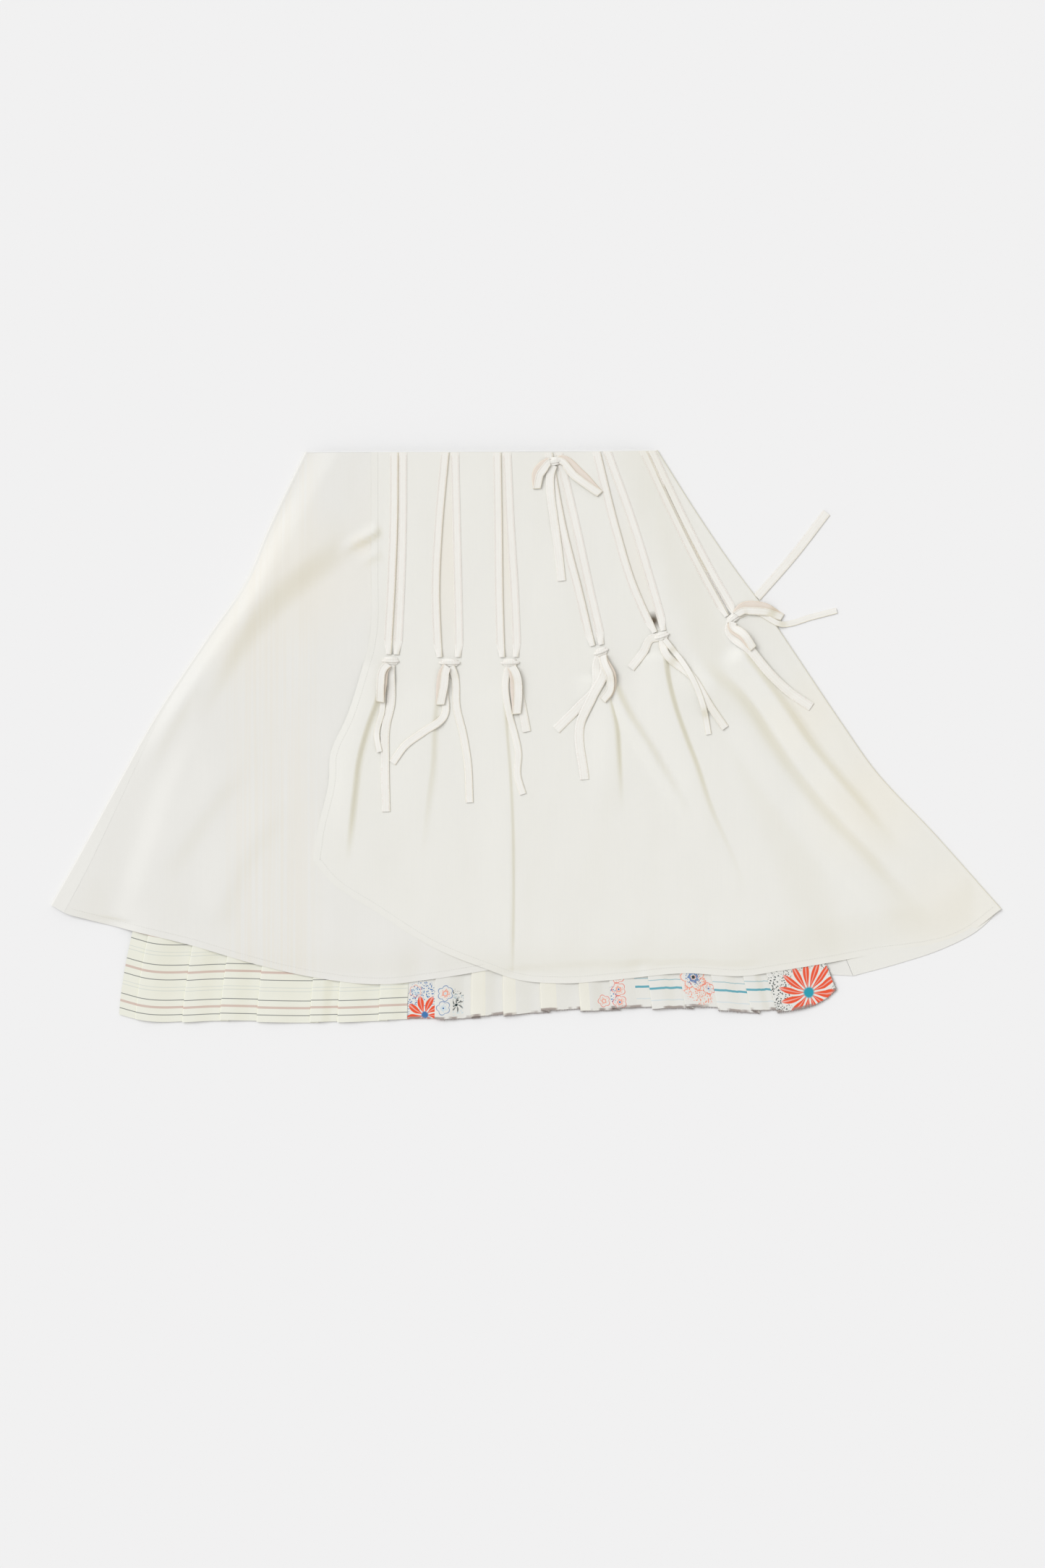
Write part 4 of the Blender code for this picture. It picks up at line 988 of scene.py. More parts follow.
def slit_tape_grid(slit, side):
    """Tape sewn along one edge of a slit, gathered into the knot at its foot."""
    clear = slit.get("clear", TAPE_CLEAR)
    edge = line_through(slit["left" if side < 0 else "right"])
    count = int(line_length(edge)[-1] / RIBBON_STEP)
    ahead = (edge[0] - edge[8]) / np.linalg.norm(edge[0] - edge[8])
    centre = along(np.concatenate([[edge[0] + ahead * TAPE_SPARE], edge]), np.linspace(0, 1, count))
    sideways = directions(centre)[1]
    gather = 1.0 - 0.35 * ease((np.linspace(0, 1, count) - 0.93) / 0.07)
    top = edge[0, 1] - 0.5
    columns = []
    for place in np.linspace(0, 1, ACROSS):
        column = centre + sideways * ((clear + SLIT_TAPE_SHOWN * place) * gather * side)[:, None]
        start = (np.interp(top, column[::-1, 1], column[::-1, 0]), top)
        kept = np.concatenate([[start], column[column[:, 1] < top]])
        columns.append(along(kept, np.linspace(0, 1, count)))
    places = np.stack(columns, axis=1)
    heights = np.array([[height_below(x, y) for x, y in row] for row in places])
    share = np.linspace(0, 1, len(places))[:, None]
    lift = 1.0 * ease((share - 0.95) / 0.05)
    arch = 0.8 * ease((share - 0.93) / 0.07)
    bulge = arch * np.sin(np.linspace(0, math.pi, ACROSS))[None, :]
    for column in range(ACROSS):
        heights[:, column] = smooth_up(heights[:, column], 2)
    heights = np.maximum(heights, heights.max(axis=1, keepdims=True) - 2.5)
    level = heights + REST_GAP + size("tape_wall") / 2 + lift + bulge
    grid = np.concatenate([places, level[:, :, None]], axis=2)
    return grid if side > 0 else grid[:, ::-1]


def closed_ring(rows, columns):
    """Quads of a tube closed both ways round."""
    faces = []
    for row in range(rows):
        for column in range(columns):
            beside = (column + 1) % columns
            below = (row + 1) % rows
            faces.append((
                row * columns + column, below * columns + column,
                below * columns + beside, row * columns + beside,
            ))
    return faces


def knot_band(half_width, half_height, length, slant, phase):
    """Tape scrunched round a knot: a flat ring with soft lengthwise creases."""
    turns, around = 36, 22
    points = []
    for turn in range(turns):
        angle = 2 * math.pi * turn / turns
        shift = slant * math.sin(angle) * length / 2
        for step in range(around):
            section = 2 * math.pi * step / around
            wide = math.cos(section) * length / 2
            thick = math.sin(section)
            crease = 1.0 + 0.22 * math.cos(5 * section + phase + 1.5 * math.sin(angle))
            out = 0.95 * thick * crease
            pinch = 1.0 - 0.16 * (math.cos(section))**2
            points.append((
                wide + shift,
                (half_width * pinch + out) * math.cos(angle),
                (half_height * pinch + out) * math.sin(angle),
            ))
    return np.array(points), closed_ring(turns, around)


def knot_core(half_length, half_width, half_height, seed):
    """Gathered tapes that pass through the knot, as one soft bundle with open-looking ends."""
    rings, around = 16, 20
    points = [(-half_length, 0.0, 0.0)]
    for ring in range(1, rings):
        place = -math.cos(math.pi * ring / rings)
        swell = math.sqrt(max(0.0, 1 - place**4)) * (0.72 + 0.28 * abs(place))
        for step in range(around):
            angle = 2 * math.pi * step / around
            crease = 1.0 + 0.16 * math.cos(4 * angle + seed) + 0.08 * math.cos(7 * angle + 2 * place)
            points.append((
                place * half_length,
                half_width * swell * crease * math.cos(angle),
                half_height * swell * crease * math.sin(angle),
            ))
    points.append((half_length, 0.0, 0.0))
    faces = []
    for step in range(around):
        beside = (step + 1) % around
        faces.append((0, 1 + step, 1 + beside))
        for ring in range(rings - 2):
            row = 1 + ring * around
            faces.append((row + step, row + around + step, row + around + beside, row + beside))
        last = 1 + (rings - 2) * around
        faces.append((last + step, len(points) - 1, last + beside))
    return np.array(points), faces


def knot_points(centre, direction, half_width, seed):
    """All bodies of one knot, turned to the tie's direction, and its faces."""
    parts = [
        knot_core(4.6, half_width * 0.8, 1.1, seed),
        knot_band(half_width - 1.0, 1.3, 3.6, 0.3, seed),
        knot_band(half_width - 2.2, 1.2, 2.8, -0.9, seed + 2.0),
    ]
    points = []
    faces = []
    count = 0
    for part_points, part_faces in parts:
        points.append(part_points)
        faces.extend(tuple(count + index for index in face) for face in part_faces)
        count += len(part_points)
    points = np.concatenate(points)
    turn = math.radians(direction)
    ahead = np.array([math.cos(turn), math.sin(turn)])
    across = np.array([-ahead[1], ahead[0]])
    flat = np.array(centre) + points[:, :1] * ahead + points[:, 1:2] * across
    clear = np.percentile([
        z - height_below(x, y) for (x, y), z in zip(flat[::3], points[::3, 2])
        if z < 0 and np.hypot(x - centre[0], y - centre[1]) < 6.0
    ], 30)
    return np.concatenate([flat, (points[:, 2] - clear + REST_GAP)[:, None]], axis=1), faces


# Patches of the printed cloth: face, reach from its fold line, material slot
PATCHES = (
    (0, 60.0, 1), (1, 17.0, 1), (1, 31.0, 2), (2, 14.0, 3), (3, 11.0, 3), (4, 16.0, 3),
    (5, 10.0, 3), (5, 60.0, 4), (6, 26.0, 5), (6, 60.0, 6), (7, 60.0, 6), (8, 60.0, 7),
    (9, 60.0, 6), (10, 60.0, 6), (11, 90.0, 8),
)

# Stage
CAMERA_HEIGHT = 4.0
CLOTH_TOP = 0.008
FRAME_HEIGHT = 1.7062
FRAME_CENTRE = (-0.0040, -0.0520)
FLOOR_Z = -0.0002
FLOOR_HALF = 4.0
FLOOR_COLOUR = (0.88, 0.88, 0.885, 1.0)
SENSOR = 24.0
STITCH_SPACING = 2.7
ZIGZAG_SPACING = 1.9
FRAY_SPACING = 0.45
WORLD_STRENGTH = 0.62
SUN_STRENGTH = 1.55
SUN_SPREAD = 38.0
YARN_CONTRAST = 0.25
DOT_SIZE = 1.9
SUN_COLOUR = (0.975, 0.995, 1.03)
WORLD_COLOUR = (1.02, 1.003, 0.975, 1.0)
# Tint of the painted warm shade on slopes turned away from the sun
PAINTED_SHADE_TINT = (1.0, 0.975, 0.865, 1.0)
SHADOW_TINT = (0.10, 0.07, 0.04, 1.0)
# Brown tint of the painted shade inside the loops
LOOP_SHADE_TINT = (0.74, 0.57, 0.45, 1.0)


MADE = {}


class Shader:
    """Adds the nodes of one procedural material."""

    def __init__(self, name):
        self.made = bpy.data.materials.new(name)
        self.made.use_nodes = True
        self.tree = self.made.node_tree
        self.principled = self.tree.nodes["Principled BSDF"]
        split = self.add("ShaderNodeSeparateXYZ", self.add("ShaderNodeUVMap", uv_map="cloth").outputs[0])
        self.x = self.math("MULTIPLY", split.outputs[0], 1.0 / MM)
        self.y = self.math("MULTIPLY", split.outputs[1], 1.0 / MM)

    def add(self, kind, *values, **settings):
        """Node of one kind, its first inputs linked or set."""
        node = self.tree.nodes.new(kind)
        for key, value in settings.items():
            setattr(node, key, value)
        for socket, value in zip(node.inputs, values):
            self.put(socket, value)
        return node

    def put(self, socket, value):
        """Link a socket or set its value."""
        if isinstance(value, bpy.types.NodeSocket):
            self.tree.links.new(value, socket)
        elif value is not None:
            socket.default_value = value

    def math(self, operation, *values):
        """Result of one piece of arithmetic."""
        return self.add("ShaderNodeMath", *values, operation=operation).outputs[0]

    def mix(self, share, first, second):
        """Colour between two colours."""
        node = self.add("ShaderNodeMix", data_type="RGBA")
        self.put(node.inputs[0], share)
        self.put(node.inputs[6], first)
        self.put(node.inputs[7], second)
        return node.outputs[2]

    def place(self, scale_x=1.0, scale_y=1.0):
        """Cloth coordinates in millimetres divided by two scales."""
        x = self.math("DIVIDE", self.x, scale_x)
        y = self.math("DIVIDE", self.y, scale_y)
        return self.add("ShaderNodeCombineXYZ", x, y).outputs[0]

    def cloud(self, scale_x, scale_y, detail=2.0):
        """Soft noise between 0 and 1."""
        node = self.add("ShaderNodeTexNoise", self.place(scale_x, scale_y))
        node.inputs["Scale"].default_value = 1.0
        node.inputs["Detail"].default_value = detail
        return node.outputs[0]

    def below(self, value, limit, soft=0.3):
        """1 where a value is below a limit, with a soft edge."""
        node = self.add("ShaderNodeMapRange", value)
        node.inputs[1].default_value = limit - soft
        node.inputs[2].default_value = limit + soft
        node.inputs[3].default_value = 1.0
        node.inputs[4].default_value = 0.0
        return node.outputs[0]

    def dots(self, gap):
        """Irregular small dots about a gap apart."""
        cells = self.add("ShaderNodeTexVoronoi", self.place(gap, gap))
        cells.inputs["Scale"].default_value = 1.0
        return self.below(cells.outputs["Distance"], 0.36, 0.08)

    def wave(self, value, length):
        """Sine of a coordinate with a wavelength in millimetres."""
        return self.math("SINE", self.math("MULTIPLY", value, 2 * math.pi / length))

    def patch(self, tone, tint, centre, radius, strength):
        """Soft round area of another colour."""
        across = self.math("SUBTRACT", self.x, centre[0])
        down = self.math("SUBTRACT", self.y, centre[1])
        squares = self.math("ADD", self.math("POWER", across, 2.0), self.math("POWER", down, 2.0))
        away = self.math("SQRT", squares)
        share = self.math("MULTIPLY", self.below(away, radius * 0.6, radius * 0.4), strength)
        return self.mix(share, tone, tint)

    def finish(self, base, height, bump, roughness=0.92, sheen=0.04):
        """Colour with painted warm shade on slopes turned from the sun, weave and the numbers that are the
        same all over.
        """
        shader = self.principled
        # Painted warm shade: slopes turned from the sun are multiplied by a warm tint
        painted_shade = self.add("ShaderNodeAttribute", attribute_name="painted_shade").outputs["Fac"]
        painted_shade_mix = self.add("ShaderNodeMix", data_type="RGBA", blend_type="MULTIPLY")
        self.put(painted_shade_mix.inputs[0], painted_shade)
        self.put(painted_shade_mix.inputs[6], base)
        self.put(painted_shade_mix.inputs[7], PAINTED_SHADE_TINT)
        self.put(shader.inputs["Base Color"], painted_shade_mix.outputs[2])
        shader.inputs["Roughness"].default_value = roughness
        shader.inputs["Specular IOR Level"].default_value = 0.25
        shader.inputs["Sheen Weight"].default_value = sheen
        shader.inputs["Sheen Roughness"].default_value = 0.5
        relief = self.add("ShaderNodeBump")
        relief.inputs["Strength"].default_value = 0.45
        relief.inputs["Distance"].default_value = bump * MM
        self.put(relief.inputs["Height"], height)
        self.put(shader.inputs["Normal"], relief.outputs[0])
        return self.made


def woven(shader, period):
    """Height of a plain weave with uneven yarns."""
    weave = shader.math("MULTIPLY", shader.wave(shader.x, period), shader.wave(shader.y, period))
    slubs = shader.math("ADD", shader.cloud(0.6, 14.0), shader.cloud(14.0, 0.6))
    return shader.math("ADD", weave, shader.math("MULTIPLY", slubs, 0.8))


def shade_of(base, share):
    """Darker tone of a colour."""
    return tuple(channel * share for channel in base[:3]) + (1.0,)


def plain_cloth(name, base, period=0.6, bump=0.12, patches=(), shown_through=None):
    """Plain woven cloth with slightly uneven colour, patches from the callers (warmer ones, some of them
    painted shade, and painted shadow) and what shows through it.
    """
    shader = Shader(name)
    uneven = shader.mix(shader.cloud(60.0, 110.0), shade_of(base, 0.965), base)
    yarns = shader.math("MULTIPLY", shader.cloud(0.9, 60.0, 0.0), 0.5)
    uneven = shader.mix(shader.math("MULTIPLY", yarns, YARN_CONTRAST), uneven, shade_of(base, 0.85))
    tint = tuple(channel * share for channel, share in zip(base[:3], (1.0, 0.975, 0.93))) + (1.0,)
    for centre, radius, strength, *other in patches:
        uneven = shader.patch(uneven, other[0] if other else tint, centre, radius, strength)
    if shown_through:
        low, high, strength = shown_through
        middle = (low + high) / 2
        off_middle = shader.math("ABSOLUTE", shader.math("SUBTRACT", shader.x, middle))
        band = shader.below(off_middle, (high - low) / 2, 14.0)
        lines = shader.below(shader.cloud(3.4, 320.0, 1.0), 0.5, 0.1)
        share = shader.math("MULTIPLY", shader.math("MULTIPLY", band, lines), strength)
        uneven = shader.mix(share, uneven, shade_of(tint, 0.97))
    return shader.finish(uneven, woven(shader, period), bump)


def tape_cloth():
    """Herringbone twill tape."""
    shader = Shader("tape_twill")
    base = colour("tape")
    shade = shade_of(base, 0.93)
    folded = shader.math("PINGPONG", shader.math("ADD", shader.x, 20.0), 2.5)
    twill = shader.wave(shader.math("ADD", shader.y, folded), 1.1)
    soft = shader.cloud(5.0, 12.0)
    ribs = shader.below(shader.math("ABSOLUTE", twill), 0.35, 0.3)
    tone = shader.mix(shader.math("MULTIPLY", ribs, 0.35), shader.mix(soft, shade, base), shade)
    from_edge = shader.math("SUBTRACT", size("tape_width") / 2, shader.math("ABSOLUTE", shader.x))
    edge = shader.below(from_edge, 2.6, 0.5)
    speckles = shader.math("MULTIPLY", edge, shader.dots(1.15))
    tone = shader.mix(shader.math("MULTIPLY", speckles, 0.4), tone, (0.76, 0.64, 0.58, 1.0))
    lengthwise = shader.below(shader.math("ABSOLUTE", shader.wave(shader.x, 5.6)), 0.25, 0.25)
    tone = shader.mix(shader.math("MULTIPLY", lengthwise, 0.22), tone, (0.80, 0.69, 0.60, 1.0))
    # Painted shade inside the loops: the inner attribute mixes in a brown tint
    inner = shader.add("ShaderNodeAttribute", attribute_name="inner").outputs["Fac"]
    tone = shader.mix(inner, tone, LOOP_SHADE_TINT)
    return shader.finish(tone, twill, 0.14)


def shirt_cloth():
    """Shirt cloth with fine stripes along the hem."""
    shader = Shader("shirt_weave")
    base = colour("shirt")
    repeat = shader.math("MODULO", shader.math("ADD", shader.y, 382.0), 38.2)
    tone = shader.mix(shader.cloud(40.0, 60.0), tuple(c * 0.96 for c in base[:3]) + (1.0,), base)
    faint = (0.42, 0.50, 0.54, 1.0)
    stripes = (
        (7.6, 0.45, colour("dark_stripe"), 0.8), (15.8, 1.25, colour("pink_stripe"), 0.7),
        (23.6, 0.45, colour("dark_stripe"), 0.8), (33.8, 0.4, faint, 0.3), (37.6, 0.35, faint, 0.3),
    )
    for place, half, tint, strength in stripes:
        away = shader.math("ABSOLUTE", shader.math("SUBTRACT", repeat, place))
        line = shader.math("MULTIPLY", shader.below(away, half, 0.12), strength)
        tone = shader.mix(line, tone, tint)
    return shader.finish(tone, woven(shader, 0.5), 0.08)


def flower(shader, tone, centre, radius, petals, petal, heart, trim, slender=0.9, twist=0.0):
    """Flower of pointed petals about an oval heart, with a stippled trim round it."""
    dx = shader.math("SUBTRACT", shader.x, centre[0])
    dy = shader.math("SUBTRACT", shader.y, centre[1])
    squares = shader.math("ADD", shader.math("POWER", dx, 2.0), shader.math("POWER", dy, 2.0))
    away = shader.math("SQRT", squares)
    ratio = shader.math("DIVIDE", away, radius)
    turn = shader.math("MULTIPLY", shader.math("ARCTAN2", dy, dx), petals / (2 * math.pi))
    turn = shader.math("ADD", shader.math("ADD", turn, shader.math("MULTIPLY", ratio, twist)), 40.0)
    aside = shader.math("MULTIPLY", shader.math("PINGPONG", turn, 0.5), 2.0)
    swell = shader.math("SINE", shader.math("MULTIPLY", shader.math("MINIMUM", ratio, 1.0), math.pi))
    shape = shader.math("SUBTRACT", aside, shader.math("MULTIPLY", swell, slender))
    inside = shader.math("MULTIPLY", shader.below(shape, 0.0, 0.05), shader.below(ratio, 0.96, 0.02))
    dots = shader.dots(DOT_SIZE)
    cloud = shader.below(shader.math("ABSOLUTE", shader.math("SUBTRACT", ratio, 1.05)), 0.3, 0.06)
    tone = shader.mix(shader.math("MULTIPLY", shader.math("MULTIPLY", dots, cloud), 0.85), tone, trim)
    tone = shader.mix(inside, tone, petal)
    vein = shader.math("MULTIPLY", shader.below(aside, 0.12, 0.08), inside)
    tone = shader.mix(shader.math("MULTIPLY", vein, 0.45), tone, colour("voile"))
    return shader.mix(shader.below(ratio, 0.17, 0.03), tone, heart)


def rosette(shader, tone, centre, radius, petals, outline, inner, heart):
    """Flower drawn by a scalloped outline round a stippled ring and a dark heart."""
    dx = shader.math("SUBTRACT", shader.x, centre[0])
    dy = shader.math("SUBTRACT", shader.y, centre[1])
    squares = shader.math("ADD", shader.math("POWER", dx, 2.0), shader.math("POWER", dy, 2.0))
    away = shader.math("SQRT", squares)
    turn = shader.math("MULTIPLY", shader.math("ARCTAN2", dy, dx), petals / 2)
    lobe = shader.math("ABSOLUTE", shader.math("SINE", turn))
    edge = shader.math("MULTIPLY", shader.math("ADD", shader.math("MULTIPLY", lobe, 0.24), 0.76), radius)
    ratio = shader.math("DIVIDE", away, edge)
    dots = shader.dots(DOT_SIZE * 0.8)
    ring = shader.below(shader.math("ABSOLUTE", shader.math("SUBTRACT", ratio, 0.5)), 0.2, 0.05)
    tone = shader.mix(shader.math("MULTIPLY", ring, shader.math("MULTIPLY", dots, 0.9)), tone, inner)
    band = shader.below(shader.math("ABSOLUTE", shader.math("SUBTRACT", ratio, 0.32)), 0.1, 0.03)
    tone = shader.mix(shader.math("MULTIPLY", band, 0.8), tone, inner)
    line = shader.below(shader.math("ABSOLUTE", shader.math("SUBTRACT", ratio, 0.95)), 0.05, 0.03)
    tone = shader.mix(shader.math("MULTIPLY", line, 0.85), tone, outline)
    return shader.mix(shader.below(ratio, 0.14, 0.03), tone, heart)


def raw_hem(shader, tone):
    """Grey-brown band along parts of the raw hem."""
    edge = shader.below(shader.math("ADD", shader.y, shader.cloud(0.5, 2.0)), 2.8, 0.5)
    parts = shader.below(shader.cloud(22.0, 400.0), 0.5, 0.04)
    share = shader.math("MULTIPLY", shader.math("MULTIPLY", edge, parts), 0.8)
    return shader.mix(share, tone, colour("fray"))


def printed_cloth(name, motifs, scatter=None):
    """Grey voile with flowers and, if asked, patches of small dots."""
    shader = Shader(name)
    base = colour("voile")
    tone = shader.mix(shader.cloud(30.0, 50.0), shade_of(base, 0.91), base)
    if scatter:
        centre, radius, tint, gap = scatter
        dx = shader.math("SUBTRACT", shader.x, centre[0])
        dy = shader.math("SUBTRACT", shader.y, centre[1])
        squares = shader.math("ADD", shader.math("POWER", dx, 2.0), shader.math("POWER", dy, 2.0))
        away = shader.math("SQRT", squares)
        rough = shader.math("MULTIPLY", shader.cloud(9.0, 9.0), 9.0)
        patch = shader.below(shader.math("ADD", away, rough), radius + 4.5, 1.5)
        tone = shader.mix(shader.math("MULTIPLY", shader.dots(gap), patch), tone, tint)
    for draw, *numbers in motifs:
        tone = draw(shader, tone, *numbers)
    return shader.finish(raw_hem(shader, tone), woven(shader, 0.4), 0.06)


def lined_cloth(name, lines, base=None):
    """Voile, or another plain cloth, with narrow lines of colour along the hem."""
    shader = Shader(name)
    base = base or colour("voile")
    tone = shader.mix(shader.cloud(30.0, 50.0), shade_of(base, 0.95), base)
    for place, half, tint, strength in lines:
        away = shader.math("ABSOLUTE", shader.math("SUBTRACT", shader.y, place))
        tone = shader.mix(shader.math("MULTIPLY", shader.below(away, half, 0.2), strength), tone, tint)
    return shader.finish(raw_hem(shader, tone), woven(shader, 0.4), 0.06)


def patch_columns(hem_x, face):
    """Material slot of each column of the printed piece."""
    lines = [UNDERSKIRT_SEAM] + [line for line, _ in PRINT_PLEATS]
    slots = np.zeros(len(face), int)
    for number, reach, slot in reversed(PATCHES):
        slots[(face == number) & (hem_x - lines[number] < reach)] = slot
    return slots


def print_materials(hem_x, face, unfolded):
    """Cloths of the printed piece's patches, by slot."""

    def spot(number, x, up):
        """Cloth coordinate of a place on one face."""
        chosen = face == number
        return float(np.interp(x, hem_x[chosen], unfolded[chosen])), up

    orange, blue, teal = colour("orange"), colour("blue"), colour("teal")
    dark, voile, cream = colour("dark"), colour("voile"), colour("cream")
    pale_blue = (0.58, 0.70, 0.76, 1.0)
    soft_orange = (0.88, 0.32, 0.22, 1.0)
    first = (
        (flower, spot(0, -110, 4), 22.0, 9, orange, blue, blue, 0.8, 0.35),
        (rosette, spot(0, -121, 30), 7.0, 6, soft_orange, pale_blue, voile),
        (rosette, spot(1, -88, 28), 9.0, 6, blue, soft_orange, pale_blue),
        (rosette, spot(1, -90, 12), 8.0, 5, blue, pale_blue, blue),
    )
    leaves = ((flower, spot(1, -76, 15), 9.0, 7, dark, dark, pale_blue, 0.35, 0.6),)
    motif = ((rosette, spot(5, 86, 10), 7.0, 5, orange, soft_orange, voile),)
    scallops = (
        (rosette, spot(6, 103, 34), 8.0, 5, orange, soft_orange, blue),
        (rosette, spot(6, 103, 20), 8.0, 5, orange, soft_orange, blue),
        (rosette, spot(6, 103, 6), 8.0, 5, orange, soft_orange, blue),
    )
    blossom = (
        (rosette, spot(8, 188, 32), 15.0, 7, soft_orange, blue, dark),
        (rosette, spot(8, 203, 20), 7.0, 6, orange, pale_blue, blue),
    )
    big = (
        (flower, spot(11, 313, 14), 33.0, 13, orange, teal, dark, 0.74, 0.25),
    )
    lines = ((31.0, 0.45, teal, 0.55), (22.0, 1.2, teal, 0.85), (9.0, 0.6, pale_blue, 0.5))
    return (
        lined_cloth("print_voile", ()),
        printed_cloth("print_first", first, (spot(0, -112, 26), 16.0, blue, DOT_SIZE)),
        printed_cloth("print_leaves", leaves, (spot(1, -76, 22), 10.0, dark, DOT_SIZE)),
        lined_cloth("print_cream", (), cream),
        printed_cloth("print_motif", motif),
        printed_cloth("print_scallops", scallops, (spot(6, 94, 14), 9.0, blue, DOT_SIZE)),
        lined_cloth("print_lines", lines),
        printed_cloth("print_rosette", blossom, (spot(8, 192, 18), 16.0, soft_orange, DOT_SIZE)),
        printed_cloth("print_big", big, (spot(11, 283, 24), 15.0, dark, DOT_SIZE)),
    )


def shared(maker):
    """Material made once by a function."""
    if maker not in MADE:
        MADE[maker] = maker()
    return MADE[maker]


def ivory_cloth():
    """The skirt's own cloth."""
    return plain_cloth("ivory_weave", colour("ivory"))


def under_cloth():
    """The under panel, with the underskirt showing through faintly, warmer patches, painted shade in the tuck
    and where it shows through the slits, and a painted shadow in the open foot of slit 5.
    """
    patches = (
        # Warmer patches; the one at (-180, 206) is painted shade in the tuck by the over panel's edge, those
        # at (-60, 200) and (150, 190) are painted shade on the cloth seen through the slits, and the
        # SHADOW_TINT ones are a painted shadow in the open foot of slit 5
        ((-250, 170), 90.0, 0.8), ((-310, 100), 60.0, 0.5), ((-60, 200), 150.0, 0.9),
        ((-180, 206), 14.0, 0.9),
        ((150, 190), 90.0, 0.7), ((139, 124), 11.0, 0.95, SHADOW_TINT), ((147, 104), 8.0, 0.95, SHADOW_TINT),
    )
    return plain_cloth("ivory_under", colour("ivory"), patches=patches, shown_through=(-320.0, -230.0, 0.55))


def over_cloth():
    """The over panel, a little lighter than the ivory, with painted warm shade where it turns away from the
    sun at the right and a painted shadow under knot 5.
    """
    patches = (
        # Warm patches are painted shade where the panel turns away at the right; the SHADOW_TINT one is a
        # painted shadow under knot 5
        ((380, -70), 90.0, 0.75), ((310, 20), 60.0, 0.6), ((470, -190), 90.0, 0.55),
        ((151.5, 101.5), 5.0, 0.95, SHADOW_TINT),
    )
    base = tuple(channel * share for channel, share in zip(colour("ivory"), (1.018, 1.018, 1.005)))
    return plain_cloth("ivory_over", (*base, 1.0), patches=patches)


def flat_colour(name, base, roughness=0.9):
    """Material of one even colour."""
    made = bpy.data.materials.new(name)
    made.use_nodes = True
    shader = made.node_tree.nodes["Principled BSDF"]
    shader.inputs["Base Color"].default_value = base
    shader.inputs["Roughness"].default_value = roughness
    shader.inputs["Specular IOR Level"].default_value = 0.1
    return made


def yarn_tree():
    """Node tree that lays short pieces of yarn along the edges of a mesh."""
    tree = bpy.data.node_groups.new("yarn_rows", "GeometryNodeTree")
    tree.interface.new_socket(name="Geometry", in_out="INPUT", socket_type="NodeSocketGeometry")
    for name in ("Spacing", "Length", "Width", "Turn", "Slant", "Scatter"):
        tree.interface.new_socket(name=name, in_out="INPUT", socket_type="NodeSocketFloat")
    tree.interface.new_socket(name="Material", in_out="INPUT", socket_type="NodeSocketMaterial")
    tree.interface.new_socket(name="Geometry", in_out="OUTPUT", socket_type="NodeSocketGeometry")

    def add(kind, links=None, **settings):
        """Node of one kind with its sockets, by name, linked or set."""
        node = tree.nodes.new(kind)
        for key, value in settings.items():
            setattr(node, key, value)
        for key, value in (links or {}).items():
            if isinstance(value, bpy.types.NodeSocket):
                tree.links.new(value, node.inputs[key])
            else:
                node.inputs[key].default_value = value
        return node

    def arithmetic(operation, first, second):
        """Result of one piece of arithmetic."""
        return add("ShaderNodeMath", {0: first, 1: second}, operation=operation).outputs[0]

    given = tree.nodes.new("NodeGroupInput").outputs
    curve = add("GeometryNodeMeshToCurve", {"Mesh": given["Geometry"]})
    points = add(
        "GeometryNodeCurveToPoints", {"Curve": curve.outputs[0], "Length": given["Spacing"]}, mode="LENGTH")
    along_path = add(
        "FunctionNodeAlignRotationToVector", {"Vector": points.outputs["Tangent"]}, axis="X", pivot_axis="Z")
    parity = arithmetic("MODULO", add("GeometryNodeInputIndex").outputs[0], 2.0)
    side = arithmetic("SUBTRACT", arithmetic("MULTIPLY", parity, 2.0), 1.0)
    zigzag = arithmetic("MULTIPLY", side, given["Slant"])
    chance = add("FunctionNodeRandomValue", {"Seed": SEED}, data_type="FLOAT").outputs[1]
    stray = arithmetic("MULTIPLY", arithmetic("SUBTRACT", chance, 0.5), given["Scatter"])
    angle = arithmetic("ADD", arithmetic("ADD", zigzag, stray), given["Turn"])
    turned = add("FunctionNodeAxisAngleToRotation", {"Axis": (0.0, 0.0, 1.0), "Angle": angle})
    rotation = add(
        "FunctionNodeRotateRotation",
        {"Rotation": along_path.outputs[0], "Rotate By": turned.outputs[0]}, rotation_space="LOCAL")
    yarn = add("GeometryNodeMeshIcoSphere", {"Radius": 0.5, "Subdivisions": 1})
    scale = add("ShaderNodeCombineXYZ", {"X": given["Length"], "Y": given["Width"], "Z": given["Width"]})
    shaped = add("GeometryNodeTransform", {"Geometry": yarn.outputs[0], "Scale": scale.outputs[0]})
    longer = arithmetic("ADD", arithmetic("MULTIPLY", chance, given["Scatter"]), 1.0)
    size_of = add("ShaderNodeCombineXYZ", {"X": longer, "Y": 1.0, "Z": 1.0})
    placed = add("GeometryNodeInstanceOnPoints", {
        "Points": points.outputs["Points"], "Instance": shaped.outputs[0],
        "Rotation": rotation.outputs[0], "Scale": size_of.outputs[0],
    })
    smooth = add("GeometryNodeSetShadeSmooth", {"Geometry": add(
        "GeometryNodeRealizeInstances", {"Geometry": placed.outputs[0]}).outputs[0]})
    coated = add(
        "GeometryNodeSetMaterial", {"Geometry": smooth.outputs[0], "Material": given["Material"]})
    result = tree.nodes.new("NodeGroupOutput")
    tree.links.new(coated.outputs[0], result.inputs[0])
    return tree


